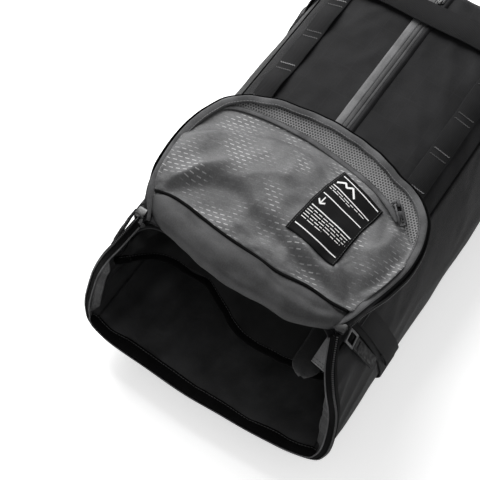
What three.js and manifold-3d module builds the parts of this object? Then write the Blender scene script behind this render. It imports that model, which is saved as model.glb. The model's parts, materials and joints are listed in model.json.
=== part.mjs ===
// Ski backpack, 32 litre class, lying on its back with its top flap unzipped and folded over the front.
// Units are millimetres. +Z goes from the wearer's side up to the front of the pack, -Y is the top end with the
// opening, +Y the bottom end, and X runs across the width. The numbers are measured from the end of the front
// panel at the opening, and the last line moves the whole pack so that the origin is under its middle.
import * as THREE from "three";
import { mergeVertices } from "three/addons/utils/BufferGeometryUtils.js";
import Module from "manifold-3d";

const wasm = await Module();
wasm.setup();

// ---- driving dimensions ----------------------------------------------------------------------------
const originY = 192; // middle of the whole pack along its length
const bottomEndY = 450; // outer face of the bottom end
const backZ = 28; // outer face of the back panel; the pads and straps lie between it and the floor
const frontZ = 190.5; // outer face of the front panel at its centre
const fabric = 2.4; // padded shell fabric
const lining = 1.2;
const gap = 0.4; // clearance between pieces that touch
const foldY = 18; // fold where the flap's hinge band meets its D-shaped part
const webbing = 1.7;
const zipHalfGap = 8; // half the slot in the front panel that the centre zip fills
const pocketZipRadius = 224; // the pocket zip follows an arc
const pocketZipCentreY = -64;
const pocketZipHalfAngle = THREE.MathUtils.degToRad(29);

// Outer face of the shell in cross-section, right half, as x, z.
const frontSection = [[zipHalfGap, frontZ], [50, 190.3], [88, 188.5], [110, 182], [126, 170]];
const sideSection = [[127, 168.5], [142, 138], [152, 100], [156, 62], [153, 41], [143, 29.5]];
// Edge of the side panels at the opening, as y, z from the flap's fold line to the back panel.
const rimEdge = [[-12, 190], [-34, 166.5], [-46.5, 146], [-52.5, 116], [-58.5, 92], [-66, 66], [-66, 50],
  [-58, 40], [-44, 29]];
// Centreline of the opening's zip, right half, as x, y, z.
const rimZipLine = [[121, -17, 188], [130.5, -38.5, 168.5], [141, -51.5, 147], [151, -57.5, 116],
  [155, -63.5, 92], [157, -72, 66], [154, -77, 50], [143, -81, 41], [122, -86.5, 37], [90, -90, 35],
  [0, -93.5, 34]];

// ---- materials -------------------------------------------------------------------------------------
const finish = (color, roughness, metalness = 0) =>
  new THREE.MeshStandardMaterial({ color, roughness, metalness });
const materials = {
  shell: finish(0x1d1d1f, 0.62),
  webbing: finish(0x19191b, 0.85),
  lining: finish(0x5c5c5e, 0.7),
  pocket: finish(0x77777a, 0.6),
  mesh: finish(0x6a6a6c, 0.9),
  binding: finish(0x7d7d7f, 0.85),
  label: finish(0x161616, 0.8),
  zipTape: finish(0x8b8b8c, 0.5),
  zipBlack: finish(0x0f0f10, 0.45),
  padding: finish(0x222224, 0.95),
  metal: finish(0x8f9092, 0.35, 0.9),
  plastic: finish(0x121213, 0.4),
  rubber: finish(0x1a1a1b, 0.75),
  frameSheet: finish(0x2b2b2d, 0.5),
  aluminium: finish(0xb4b6b8, 0.4, 0.9),
};

// ---- geometry helpers ------------------------------------------------------------------------------
const v2 = ([x, y]) => new THREE.Vector2(x, y);
const smooth = (points, steps) => new THREE.SplineCurve(points.map(v2)).getPoints(steps);

// Closed outline between two offsets of a line; an offset is measured to the left of its direction.
function strip(line, from, to) {
  const offset = (distance) =>
    line.map((p, i) => {
      const along = line[Math.min(i + 1, line.length - 1)].clone().sub(line[Math.max(i - 1, 0)]).normalize();
      return new THREE.Vector2(p.x - along.y * distance, p.y + along.x * distance);
    });
  return new THREE.Shape([...offset(from), ...offset(to).reverse()]);
}

// A flat outline pushed along an axis: along z it is drawn in x, y, along y in x, z and along x in y, z.
function prism(shape, axis, from, to) {
  const depth = to - from;
  const geometry = new THREE.ExtrudeGeometry(shape, { depth, bevelEnabled: false, curveSegments: 6 });
  const [X, Y, Z] = [new THREE.Vector3(1, 0, 0), new THREE.Vector3(0, 1, 0), new THREE.Vector3(0, 0, 1)];
  const turn = new THREE.Matrix4();
  if (axis === "x") turn.makeBasis(Y, Z, X).setPosition(from, 0, 0);
  if (axis === "y") turn.makeBasis(X, Z, Y.clone().negate()).setPosition(0, to, 0);
  if (axis === "z") turn.setPosition(0, 0, from);
  return geometry.applyMatrix4(turn);
}

function roundedRect(x0, y0, x1, y1, radius) {
  const shape = new THREE.Shape();
  shape.moveTo(x0 + radius, y0);
  shape.lineTo(x1 - radius, y0);
  shape.absarc(x1 - radius, y0 + radius, radius, -Math.PI / 2, 0);
  shape.lineTo(x1, y1 - radius);
  shape.absarc(x1 - radius, y1 - radius, radius, 0, Math.PI / 2);
  shape.lineTo(x0 + radius, y1);
  shape.absarc(x0 + radius, y1 - radius, radius, Math.PI / 2, Math.PI);
  shape.lineTo(x0, y0 + radius);
  shape.absarc(x0 + radius, y0 + radius, radius, Math.PI, 1.5 * Math.PI);
  return shape;
}

const block = (x0, y0, z0, x1, y1, z1, radius = 0) =>
  radius
    ? prism(roundedRect(x0, y0, x1, y1, radius), "z", z0, z1)
    : new THREE.BoxGeometry(x1 - x0, y1 - y0, z1 - z0)
        .translate((x0 + x1) / 2, (y0 + y1) / 2, (z0 + z1) / 2);

function toSolid(geometry) {
  const flat = geometry.index ? geometry.toNonIndexed() : geometry;
  const bare = new THREE.BufferGeometry().setAttribute("position", flat.getAttribute("position"));
  const merged = mergeVertices(bare, 1e-4);
  return new wasm.Manifold(new wasm.Mesh({
    numProp: 3,
    vertProperties: merged.attributes.position.array,
    triVerts: new Uint32Array(merged.index.array),
  }));
}

function fromSolid(solid) {
  const mesh = solid.getMesh();
  return new THREE.BufferGeometry()
    .setAttribute("position", new THREE.BufferAttribute(mesh.vertProperties, 3))
    .setIndex(new THREE.BufferAttribute(mesh.triVerts, 1));
}

const cut = (geometry, ...tools) =>
  fromSolid(tools.reduce((solid, tool) => solid.subtract(toSolid(tool)), toSolid(geometry)));
const join = (geometry, ...others) =>
  fromSolid(others.reduce((solid, other) => solid.add(toSolid(other)), toSolid(geometry)));
const common = (geometry, other) => fromSolid(toSolid(geometry).intersect(toSolid(other)));

// A bar of square section along a smooth line in space.
function bead(points, side, steps) {
  const half = side / 2;
  const section = new THREE.Shape([[-half, -half], [half, -half], [half, half], [-half, half]].map(v2));
  const path = new THREE.CatmullRomCurve3(points.map((p) => new THREE.Vector3(...p)));
  return new THREE.ExtrudeGeometry(section, { steps, bevelEnabled: false, extrudePath: path });
}

const pack = new THREE.Group();

function add(name, geometry, material, place) {
  const mesh = new THREE.Mesh(geometry, material);
  mesh.name = name;
  if (place) place(mesh);
  pack.add(mesh);
  return mesh;
}

// The same piece on both sides: made on the right, mirrored to the left.
function addPair(name, geometry, material) {
  add(`${name}_right`, geometry, material);
  add(`${name}_left`, geometry, material, (mesh) => mesh.scale.set(-1, 1, 1));
}

// ---- shell -----------------------------------------------------------------------------------------
const frontLine = smooth(frontSection, 10);
const sideLine = smooth(sideSection, 14);
const endLine = bottomEndY - fabric;
const openingY = -12; // edge of the front panel at the opening
const dividerZ = 98;

function insideRim(setback) {
  const edge = smooth(rimEdge, 16).map((p) => new THREE.Vector2(p.x + setback, p.y - setback / 2));
  const far = bottomEndY + 10;
  return prism(new THREE.Shape([...edge, v2([edge.at(-1).x, 10]), v2([far, 10]), v2([far, 210]),
    v2([edge[0].x, 210])]), "x", 0, 200);
}

const backOutline = () => {
  const [half, top, corner] = [139, -78, 34];
  const shape = new THREE.Shape();
  shape.moveTo(-half, endLine - gap);
  shape.lineTo(-half, top + corner);
  shape.absarc(-half + corner, top + corner, corner, Math.PI, 1.5 * Math.PI);
  shape.quadraticCurveTo(0, top - 16, half - corner, top);
  shape.absarc(half - corner, top + corner, corner, -Math.PI / 2, 0);
  shape.lineTo(half, endLine - gap);
  return shape;
};

function shell() {
  addPair("front_panel", prism(strip(frontLine, 0, -fabric), "y", openingY, endLine - gap), materials.shell);
  const side = prism(strip(sideLine, 0, -fabric), "y", -100, endLine - gap);
  addPair("side_panel", common(side, insideRim(0)), materials.shell);

  const half = [v2([0, frontZ]), ...frontLine, ...sideLine, v2([120, backZ])];
  const mirrored = half.slice(1).reverse().map((p) => new THREE.Vector2(-p.x, p.y));
  add("bottom_panel", prism(new THREE.Shape([...half, ...mirrored]), "y", endLine, bottomEndY),
    materials.shell);
  add("back_panel", prism(backOutline(), "z", backZ, backZ + 7), materials.padding);
}

// Grey lining inside the opening: down both sides, and under the front panel.
function liningPieces() {
  const depth = 150;
  const side = prism(strip(sideLine.slice(1, -2), -fabric - 1, -fabric - 1 - lining), "y", -100, depth);
  addPair("side_lining", common(side, insideRim(3)), materials.lining);
  const frontLow = frontZ - 7;
  add("front_lining", block(-90, openingY + 1, frontLow, 90, depth, frontLow + lining, 4), materials.lining);
}

// Stiffening inside the back: a plastic sheet and two flat bars, under an inner cover.
function frameParts() {
  const sheetZ = backZ + 7 + gap;
  add("frame_sheet", block(-112, -40, sheetZ, 112, 430, sheetZ + 1.5, 20), materials.frameSheet);
  addPair("frame_stay", block(44, -20, sheetZ + 1.5 + gap, 57, 420, sheetZ + 4.9, 3), materials.aluminium);
}

function backPads() {
  add("spine_pad", block(-28, 12, 0, 28, 330, backZ - gap, 12), materials.padding);
  add("lumbar_pad", block(-84, 350, 0, 84, 444, backZ - gap, 20), materials.padding);
}

// Fabric wall between the safety-tool space at the front and the main space at the back, with its pull tab.
function divider() {
  add("compartment_divider", block(-145, -24, dividerZ, 145, 430, dividerZ + 1.6, 12), materials.shell);
  const tabLine = smooth([[-5, 163], [-14, 152], [-31, 140]], 6);
  add("tool_tab", prism(strip(tabLine, 0, 1.4), "x", 104, 123), materials.binding);
}

// ---- zips of the shell -----------------------------------------------------------------------------
const coilTop = 189.6;

// A slider's top carries a bridge, and the pull's cross-bar lies in it. Both are made round the bar's middle,
// for a slider whose top is at z, with the pull along +Y.
const barUp = 0.9; // the bar's middle above the slider's top

function bridge(z) {
  return cut(block(-1.5, -4, z - 0.4, 1.5, 4, z + 2.8), block(-3, -2.5, z, 3, 2.5, z + 1.8));
}

function pull(z, length, eye = 0) {
  const [low, high, window] = [z + barUp - 0.5, z + barUp + 0.5, 8.6];
  const barHole = block(-2.2, 0.6, low - 1, 2.2, window, high + 1);
  const plate = cut(block(-4.4, -0.6, low, 4.4, length, high, 1.8), barHole);
  return eye ? cut(plate, block(-2, length - 2 - eye, low - 1, 2, length - 2, high + 1, 1.4)) : plate;
}

function frontZip() {
  const [tape, coil, tapeLow, tapeTop] = [15, 2.6, 186.2, 187.4];
  const section = new THREE.Shape([[-tape, tapeLow], [tape, tapeLow], [tape, tapeTop], [coil, tapeTop],
    [coil, coilTop], [-coil, coilTop], [-coil, tapeTop], [-tape, tapeTop]].map(v2));
  add("front_zip_tape", prism(section, "y", 154, endLine - 2), materials.zipTape);

  const [sliderY, length, width, flange] = [408, 13, 5, 3.1];
  const [seat, top] = [coilTop + gap, 192.2];
  const saddle = prism(new THREE.Shape([[-width, 187.9], [-flange, 187.9], [-flange, seat], [flange, seat],
    [flange, 187.9], [width, 187.9], [width, top], [-width, top]].map(v2)), "y", sliderY, sliderY + length);
  const barY = sliderY + 7.4;
  add("front_zip_slider", join(saddle, bridge(top).translate(0, barY, 0)), materials.zipBlack);
  add("front_zip_pull", pull(top, 32).translate(0, barY, 0), materials.zipBlack);
}

// Square bead for the tape and teeth, round three sides of the opening.
function rimZip() {
  const left = rimZipLine.slice(0, -1).map(([x, y, z]) => [-x, y, z]);
  add("rim_zip_tape", bead([...left, ...rimZipLine.toReversed()], 4.6, 64), materials.zipBlack);
}

// Each end of the opening's zip has a slider with a metal frame and a long soft tab, hanging down the side.
function rimZipPull(side, start, tip, end) {
  const along = tip.clone().sub(start).normalize();
  const outward = new THREE.Vector3(start.x, 0, 0.4 * Math.abs(start.x));
  const across = along.clone().cross(outward).normalize();
  const normal = across.clone().cross(along).normalize();
  const place = new THREE.Matrix4().makeBasis(across, along, normal).setPosition(start);
  const frame = cut(block(-8, -1.4, -1.2, 8, 19, 1.2, 1.2), block(-5.4, 1.2, -2, 5.4, 15.6, 2, 1));
  const tab = join(block(-6.6, 19.4, -1.4, 6.6, end, 1.4, 2), block(-4.8, 26, 1, 4.8, end - 8, 2.2, 2));
  add(`flap_zip_pull_frame_${side}`, frame.applyMatrix4(place), materials.metal);
  add(`flap_zip_pull_tab_${side}`, tab.applyMatrix4(place), materials.rubber);
}

function rimZipEnds() {
  const slider = block(115, -13.2, 188.4, 125.4, -3.4, 194.2, 2);
  addPair("flap_zip_slider", slider, materials.zipBlack);
  rimZipPull("right", new THREE.Vector3(129, -9, 187), new THREE.Vector3(157, 12, 113), 76);
  rimZipPull("left", new THREE.Vector3(-129, -13, 187), new THREE.Vector3(-151, -22, 122), 66);
}

// ---- webbing on the shell --------------------------------------------------------------------------
function shellWebbing() {
  const ladder = strip(frontLine.filter((p) => p.x > 85 && p.x < 115), gap, gap + webbing);
  addPair("ladder_webbing", prism(ladder, "y", 6, 440), materials.webbing);

  const lift = [[0, 196.4], [50, 195.6], [88, 192.8], [112, 185.5], [129, 173], [146, 139], [155, 104]];
  const half = smooth(lift, 12);
  const whole = [...half.slice(1).reverse().map((p) => new THREE.Vector2(-p.x, p.y)), ...half];
  add("front_strap", prism(strip(whole, 0, webbing), "y", 376, 409), materials.webbing);
  const lockZ = 72;
  const slots = [5, 14].map((rise) => block(156, 379, lockZ + rise, 163, 406, lockZ + rise + 4));
  const lock = cut(block(157.5, 375, lockZ, 161.5, 410, lockZ + 27), ...slots);
  add("front_strap_ladder_lock", lock, materials.plastic);

  const shellLine = [...frontLine.slice(0, -1), ...sideLine];
  const band = strip(shellLine.filter((p) => p.x > 118 && p.y > 40), 2 * gap, 2 * gap + webbing);
  const [slant, level] = [-0.22, 110]; // the side straps run towards the bottom end as they go down
  const lean = new THREE.Matrix4().makeShear(0, 0, 0, 0, 0, slant).setPosition(0, -slant * level, 0);
  addPair("side_strap", prism(band, "y", 20, 50).applyMatrix4(lean), materials.webbing);
}

// ---- top flap, open on the front panel -------------------------------------------------------------
const flapOutline = [
  [122, foldY], [131, 45], [138, 80], [138.5, 108], [129, 139], [104, 165], [64, 183], [0, 189],
];
const [flapFloor, flapTop] = [193, 207];
const pocketZ = 203.2; // underside of the pocket's front sheet

// The flap's D outline, moved out by an offset and closed across the fold at y.
function flapShape(offset, closeY) {
  const half = smooth(flapOutline, 16).map((p, i, all) => {
    const along = all[Math.min(i + 1, all.length - 1)].clone().sub(all[Math.max(i - 1, 0)]).normalize();
    return i === all.length - 1
      ? new THREE.Vector2(0, p.y + offset)
      : new THREE.Vector2(p.x + along.y * offset, p.y - along.x * offset);
  });
  const mirrored = half.slice(0, -1).reverse().map((p) => new THREE.Vector2(-p.x, p.y));
  const corner = half[0].x;
  return new THREE.Shape([v2([corner, closeY]), ...half, ...mirrored, v2([-corner, closeY])]);
}

function ring(outer, inner, z0, z1) {
  const inside = prism(flapShape(inner, foldY - 20), "z", z0 - 1, z1 + 1);
  return cut(prism(flapShape(outer, foldY), "z", z0, z1), inside);
}

function pocketSector(inner, outer, z0, z1) {
  const shape = new THREE.Shape();
  const [from, to] = [Math.PI / 2 - pocketZipHalfAngle, Math.PI / 2 + pocketZipHalfAngle];
  shape.absarc(0, pocketZipCentreY, outer, from, to, false);
  shape.absarc(0, pocketZipCentreY, inner, to, from, true);
  return new THREE.ExtrudeGeometry(shape, { depth: z1 - z0, bevelEnabled: false, curveSegments: 24 })
    .translate(0, 0, z0);
}

function flap() {
  add("flap_hinge_panel", block(-112, openingY + 1, 192.6, 112, foldY - 1, 195.4, 5), materials.lining);
  add("flap_shell", cut(prism(flapShape(0, foldY), "z", flapFloor, flapTop),
    prism(flapShape(-fabric, foldY - 20), "z", flapFloor + fabric, flapTop + 2)), materials.shell);
  add("flap_mesh", prism(flapShape(-fabric - gap, foldY + 2), "z", flapFloor + fabric + gap,
    flapFloor + fabric + gap + 0.9), materials.mesh);

  const bagTop = new THREE.Shape().absarc(0, pocketZipCentreY, pocketZipRadius - 4, 0, 2 * Math.PI);
  const pocketSheet = prism(flapShape(-11, foldY + 4), "z", pocketZ, pocketZ + lining);
  add("flap_pocket", common(pocketSheet, prism(bagTop, "z", 200, 206)), materials.pocket);
  const pocketZip = pocketSector(pocketZipRadius - 3.4, pocketZipRadius + 2.6, pocketZ - 0.4, pocketZ + 1.6);
  add("flap_pocket_zip", pocketZip, materials.binding);
  add("flap_binding", ring(0.6, -8.5, flapTop + gap, flapTop + gap + 1.9), materials.binding);
  add("flap_zip_tape", ring(3.8, gap, 196.5, 199.5), materials.zipBlack);
  add("flap_label", block(-30, -47.5, pocketZ + 1.6, 30, 47.5, pocketZ + 2.4), materials.label, (mesh) => {
    mesh.position.set(56, 89, 0);
    mesh.rotation.z = THREE.MathUtils.degToRad(-8);
  });
}

// Slider of the pocket zip: a clip round the bead, open towards the pocket, at the right end of the arc.
function pocketZipSlider() {
  const angle = -THREE.MathUtils.degToRad(26);
  const r = pocketZipRadius;
  const place = new THREE.Matrix4().makeRotationZ(angle).setPosition(0, pocketZipCentreY, 0);
  const low = pocketZ - 0.9;
  const top = pocketZ + 3.4;
  const jaw = block(-8, r - 4, low, 8, r + 3.2, low + 3);
  const clip = cut(block(-6, r - 2, low - 0.7, 6, r + 5.4, top, 1), jaw);
  const barY = r + 1.5;
  const hang = THREE.MathUtils.degToRad(67); // the pull hangs past the slider, towards the flap's right corner
  const turned = (geometry) => geometry.rotateZ(Math.PI + hang).translate(0, barY, 0);
  add("pocket_zip_slider", join(clip, turned(bridge(top))).applyMatrix4(place), materials.metal);
  add("pocket_zip_pull", turned(pull(top, 27, 7.5)).applyMatrix4(place), materials.metal);
}

// ---- harness ---------------------------------------------------------------------------------------
const strapLow = 0.6;
const strapHigh = 13.2;

function shoulderStraps() {
  const line = smooth([[61, -4], [66, 50], [80, 120], [94, 190], [102, 250], [104, 300]], 14);
  addPair("shoulder_strap", prism(strip(line, -29, 29), "z", strapLow, strapHigh), materials.padding);
  const slots = [block(93, 306, 2, 115, 310, 9), block(93, 315, 2, 115, 319, 9)];
  const lock = cut(block(90, 301, 3, 118, 324, 7.4), ...slots);
  addPair("strap_ladder_lock", lock, materials.plastic);
  const tail = strip(smooth([[325, 4.4], [336, 6], [356, 16], [374, 25]], 8), 0, webbing);
  addPair("strap_webbing", prism(tail, "x", 94, 114), materials.webbing);
}

function sternumStrap() {
  const webbingLow = strapHigh + gap;
  addPair("sternum_webbing", block(72, 84, webbingLow, 92, 176, webbingLow + webbing), materials.webbing);
  const low = webbingLow + 0.2;
  const socket = cut(block(69, 54, low, 95, 83.6, low + 8.4, 3), block(72, 50, low + 1.8, 92, 76, low + 6.6));
  add("sternum_buckle_socket", socket, materials.plastic);
  const base = block(-94, 70, low, -70, 83.6, low + 8.4, 3);
  const prong = (x) => block(x, 52, low + 2, x + 5, 74, low + 6.4);
  const tongue = block(-84, 56, low + 3, -80, 74, low + 5.4);
  add("sternum_buckle_prongs", join(base, prong(-92), prong(-77), tongue), materials.plastic);
}

function hipBelt() {
  const wing = new THREE.Shape();
  wing.moveTo(88, 382);
  wing.lineTo(176, 396);
  wing.quadraticCurveTo(197, 400, 199, 420);
  wing.lineTo(203, 462);
  wing.quadraticCurveTo(204, 480, 186, 480);
  wing.lineTo(104, 470);
  wing.quadraticCurveTo(88, 466, 88, 456);
  addPair("hip_wing", prism(wing, "z", strapLow, strapHigh), materials.padding);
  const low = strapHigh + gap;
  addPair("hip_webbing", block(136, 418, low, 196, 450, low + webbing), materials.webbing);
  const mouth = block(90, 419, low + 2.2, 126, 449, low + 8.6);
  const socket = cut(block(96, 414, low + 0.2, 135.6, 454, low + 10.6, 4), mouth);
  add("hip_buckle_socket", socket, materials.plastic);
  const base = block(-135.6, 414, low + 0.2, -118, 454, low + 10.6, 4);
  const prong = (y) => block(-122, y, low + 2.6, -96, y + 6, low + 8);
  add("hip_buckle_prongs", join(base, prong(417), prong(445), block(-122, 431, low + 4, -100, 437, low + 7)),
    materials.plastic);
}

// Carry loop at the top of the back.
function haulHandle() {
  const line = smooth([[-46, -40], [-40, -60], [0, -68], [40, -60], [46, -40]], 14);
  add("haul_handle", prism(strip(line, -9, 9), "z", 1, 8), materials.webbing);
}

shell();
liningPieces();
frameParts();
backPads();
divider();
frontZip();
rimZip();
rimZipEnds();
shellWebbing();
flap();
pocketZipSlider();
shoulderStraps();
sternumStrap();
hipBelt();
haulHandle();

pack.position.y = -originY;

export default pack;
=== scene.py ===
import json
import math

import bmesh
import bpy
import numpy as np
from mathutils import Matrix, Vector, noise
from mathutils.bvhtree import BVHTree


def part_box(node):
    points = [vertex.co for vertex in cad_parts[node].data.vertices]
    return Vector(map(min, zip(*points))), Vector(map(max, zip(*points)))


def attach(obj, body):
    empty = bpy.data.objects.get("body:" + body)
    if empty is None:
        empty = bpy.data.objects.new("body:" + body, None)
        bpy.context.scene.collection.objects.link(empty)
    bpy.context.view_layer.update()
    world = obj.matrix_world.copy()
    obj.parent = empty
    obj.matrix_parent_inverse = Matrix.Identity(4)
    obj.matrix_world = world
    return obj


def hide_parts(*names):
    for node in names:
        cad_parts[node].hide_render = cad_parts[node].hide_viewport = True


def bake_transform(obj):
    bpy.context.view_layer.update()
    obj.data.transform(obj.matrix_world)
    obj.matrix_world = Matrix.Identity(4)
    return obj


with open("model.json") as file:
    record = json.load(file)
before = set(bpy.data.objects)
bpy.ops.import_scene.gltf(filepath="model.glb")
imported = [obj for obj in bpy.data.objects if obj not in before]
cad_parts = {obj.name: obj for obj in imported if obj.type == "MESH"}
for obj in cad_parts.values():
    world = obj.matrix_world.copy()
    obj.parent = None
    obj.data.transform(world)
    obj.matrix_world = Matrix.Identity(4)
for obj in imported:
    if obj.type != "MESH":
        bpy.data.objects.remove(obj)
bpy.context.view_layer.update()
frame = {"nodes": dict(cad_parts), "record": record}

# Lengths are millimetres in "pack numbers": x across, y from the front panel's end at the opening towards the
# bottom end, z up from the floor. place() turns them into the frame's metres.
MM = 0.001
PANEL_START_Y = -12
ORIGIN_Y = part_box("front_panel_right")[0].y / MM - PANEL_START_Y
END_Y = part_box("bottom_panel")[1].y / MM - ORIGIN_Y
FLAP_BASE_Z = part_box("flap_shell")[0].z / MM

SHELL_HALF = [(8, 190.5), (50, 190.3), (88, 188.5), (110, 182), (126.5, 169.2), (142, 138), (152, 100),
              (156, 62), (153, 41), (143, 30)]
# How far towards -Y each of those points starts, along the edge of the opening.
RIM_START = [-13, -13, -13, -17, -35, -51, -59, -71, -79, -81]
HOLLOW = 1.6  # the deepest that the shell's cloth sinks, so that the lining doesn't come through
SIDES = ((1, "right"), (-1, "left"))
END_ROUND = 20  # radius of the bottom end's edge, and the rows of mesh round it
ROUND_ROWS = 8
SIDE_SEAM = (126.5, 169.2)  # x and z of the seam between the front and the side


# ---- geometry helpers --------------------------------------------------------------------------------------
def place(points):
    """Pack numbers in millimetres to metres in the frame."""
    points = np.asarray(points, float)
    return (points + np.array([0, ORIGIN_Y, 0])) * MM


def at(x, y, z):
    return tuple(place((x, y, z)))


def spline(points, count):
    """Catmull-Rom curve through the points, at even distances along it."""
    p = np.asarray(points, float)
    p = np.vstack([2 * p[0] - p[1], p, 2 * p[-1] - p[-2]])
    fine = []
    for a, b, c, d in zip(p, p[1:], p[2:], p[3:]):
        for t in np.linspace(0, 1, 40, endpoint=False):
            fine.append(0.5 * (2 * b + (c - a) * t + (2 * a - 5 * b + 4 * c - d) * t**2
                               + (3 * b - a - 3 * c + d) * t**3))
    fine.append(p[-2])
    return resample(fine, count)


def run_along(path):
    """Distance from a path's start to each of its points."""
    return np.concatenate([[0], np.cumsum(np.linalg.norm(np.diff(path, axis=0), axis=1))])


def resample(points, count):
    p = np.asarray(points, float)
    along = run_along(p)
    wanted = np.linspace(0, along[-1], count)
    return np.stack([np.interp(wanted, along, p[:, k]) for k in range(p.shape[1])], 1)


def length_of(path):
    return float(run_along(path)[-1])


def unit(v):
    return v / np.maximum(np.linalg.norm(v, axis=-1, keepdims=True), 1e-9)


def tangents(path):
    return unit(np.gradient(np.asarray(path, float), axis=0))


def rough(points, size, seed=0):
    """Smooth noise from about -1 to 1, with features of that size in millimetres."""
    size = np.broadcast_to(np.asarray(size, float), 3)
    shift = Vector((seed * 13.7, seed * 5.1, seed * 9.3))
    flat = np.asarray(points, float).reshape(-1, 3) / size
    values = [noise.noise(Vector(p) + shift) for p in flat]
    return 1.6 * np.array(values).reshape(np.shape(points)[:-1])


def smoothstep(a, b, x):
    t = np.clip((x - a) / (b - a), 0, 1)
    return t * t * (3 - 2 * t)


def grid_normals(grid):
    return unit(np.cross(np.gradient(grid, axis=1), np.gradient(grid, axis=0)))


def new_object(name, data):
    obj = bpy.data.objects.new(name, data)
    bpy.context.scene.collection.objects.link(obj)
    return obj


def points_of(mesh):
    return np.array([v.co for v in mesh.vertices])


def smooth_shade(mesh, smooth=True):
    mesh.polygons.foreach_set("use_smooth", [smooth] * len(mesh.polygons))


def lay_uv(mesh, layer, points):
    """Gives every corner of the mesh the UV point of its vertex, from millimetres."""
    index = np.empty(len(mesh.loops), int)
    mesh.loops.foreach_get("vertex_index", index)
    layer.data.foreach_set("uv", (np.asarray(points)[index] * MM).ravel())


def finish_mesh(name, verts, faces, material, uvs=None, smooth=True):
    mesh = bpy.data.meshes.new(name)
    mesh.from_pydata([tuple(v) for v in place(verts)], [], faces)
    if uvs is not None:
        lay_uv(mesh, mesh.uv_layers.new(name="UVMap"), uvs)
    mesh.validate()
    smooth_shade(mesh, smooth)
    mesh.materials.append(material)
    return new_object(name, mesh)


def quads(rows, cols, closed=False):
    """Faces of a grid of points. A closed grid also joins its last column to its first."""
    return [(i * cols + j, i * cols + (j + 1) % cols, (i + 1) * cols + (j + 1) % cols, (i + 1) * cols + j)
            for i in range(rows - 1) for j in range(cols if closed else cols - 1)]


def surface(name, grid, material, thick=0.0, offset=-1, closed=False):
    """A sheet over a grid of points, rows by columns, with its UV map in real lengths."""
    grid = np.asarray(grid, float)
    rows, cols = grid.shape[:2]
    step_u = np.linalg.norm(np.diff(grid, axis=1), axis=2)
    step_v = np.linalg.norm(np.diff(grid, axis=0), axis=2)
    u = np.concatenate([np.zeros((rows, 1)), np.cumsum(step_u, axis=1)], 1)
    v = np.concatenate([np.zeros((1, cols)), np.cumsum(step_v, axis=0)], 0)
    u = u - u[:, cols // 2:cols // 2 + 1]
    uvs = np.stack([u, v], 2).reshape(-1, 2)
    obj = finish_mesh(name, grid.reshape(-1, 3), quads(rows, cols, closed), material, uvs)
    if thick:
        solid = obj.modifiers.new("thickness", "SOLIDIFY")
        solid.thickness = thick * MM
        solid.offset = offset
    return obj


def tape_section(width, thick):
    """Flat band with rounded edges, as across and up."""
    w, t, e = width / 2, thick / 2, min(thick * 0.35, 0.6)
    return [(-w, -t + e), (-w + e, -t), (w - e, -t), (w, -t + e), (w, t - e), (w - e, t), (-w + e, t),
            (-w, t - e)]


def round_section(a, b, count=8):
    angles = np.arange(count) * 2 * math.pi / count
    return [(a * math.cos(t), b * math.sin(t)) for t in angles]


def loft(name, path, across, section, material, widths=None):
    """A closed bar of one section along a path. across is the section's first direction, roughly."""
    path = np.asarray(path, float)
    along = tangents(path)
    across = np.broadcast_to(np.asarray(across, float), path.shape)
    across = unit(across - along * (across * along).sum(1, keepdims=True))
    up = np.cross(across, along)
    section = np.asarray(section, float)
    widths = np.ones(len(path)) if widths is None else np.asarray(widths, float)
    rings = (path[:, None] + across[:, None] * section[None, :, :1] * widths[:, None, None]
             + up[:, None] * section[None, :, 1:])
    n, m = rings.shape[:2]
    distance = run_along(path)
    uvs = np.stack([np.broadcast_to(section[:, 0], (n, m)), np.broadcast_to(distance[:, None], (n, m))], 2)
    faces = quads(n, m, True) + [tuple(range(m))[::-1], tuple((n - 1) * m + j for j in range(m))]
    obj = finish_mesh(name, rings.reshape(-1, 3), faces, material, uvs.reshape(-1, 2))
    bm = bmesh.new()
    bm.from_mesh(obj.data)
    bmesh.ops.recalc_face_normals(bm, faces=bm.faces)
    bm.to_mesh(obj.data)
    bm.free()
    return obj


def boxes(name, centres, along, across, size, material):
    """Many small blocks in one mesh, such as stitches or teeth. size is along, across and up."""
    centres, along, across = (np.asarray(a, float) for a in (centres, along, across))
    along = unit(along)
    across = unit(across - along * (across * along).sum(1, keepdims=True))
    up = np.cross(along, across)
    half = np.asarray(size, float) / 2
    corners = np.array([(i, j, k) for k in (-1, 1) for j in (-1, 1) for i in (-1, 1)]) * half
    verts = (centres[:, None] + along[:, None] * corners[None, :, :1] + across[:, None] * corners[None, :,
                                                                                                  1:2]
             + up[:, None] * corners[None, :, 2:])
    pattern = [(0, 2, 3, 1), (4, 5, 7, 6), (0, 1, 5, 4), (2, 6, 7, 3), (0, 4, 6, 2), (1, 3, 7, 5)]
    faces = [tuple(8 * i + k for k in f) for i in range(len(centres)) for f in pattern]
    return finish_mesh(name, verts.reshape(-1, 3), faces, material, smooth=False)


def stitches(name, path, up, material, pitch=3.6, size=(2.4, 0.55, 0.4)):
    path = resample(path, max(4, int(length_of(path) / pitch)))
    up = np.broadcast_to(np.asarray(up, float), path.shape) if np.ndim(up) == 1 else resample(up, len(path))
    along = tangents(path)
    return boxes(name, path, along, np.cross(up, along), size, material)


def stand_for(obj, slot, *nodes):
    """Hides the CAD nodes that a piece stands for. The slot, its finish, is not used."""
    if nodes:
        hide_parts(*nodes)
    return obj


def own(obj, body, slot, *nodes):
    """Puts a finished piece on its body, standing for those CAD nodes. The slot, its finish, is not used."""
    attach(obj, body)
    return stand_for(obj, slot, *nodes)


def baked(obj):
    """The same object with its modifiers applied."""
    graph = bpy.context.evaluated_depsgraph_get()
    mesh = bpy.data.meshes.new_from_object(obj.evaluated_get(graph), depsgraph=graph)
    obj.modifiers.clear()
    obj.data = mesh
    return obj


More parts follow.
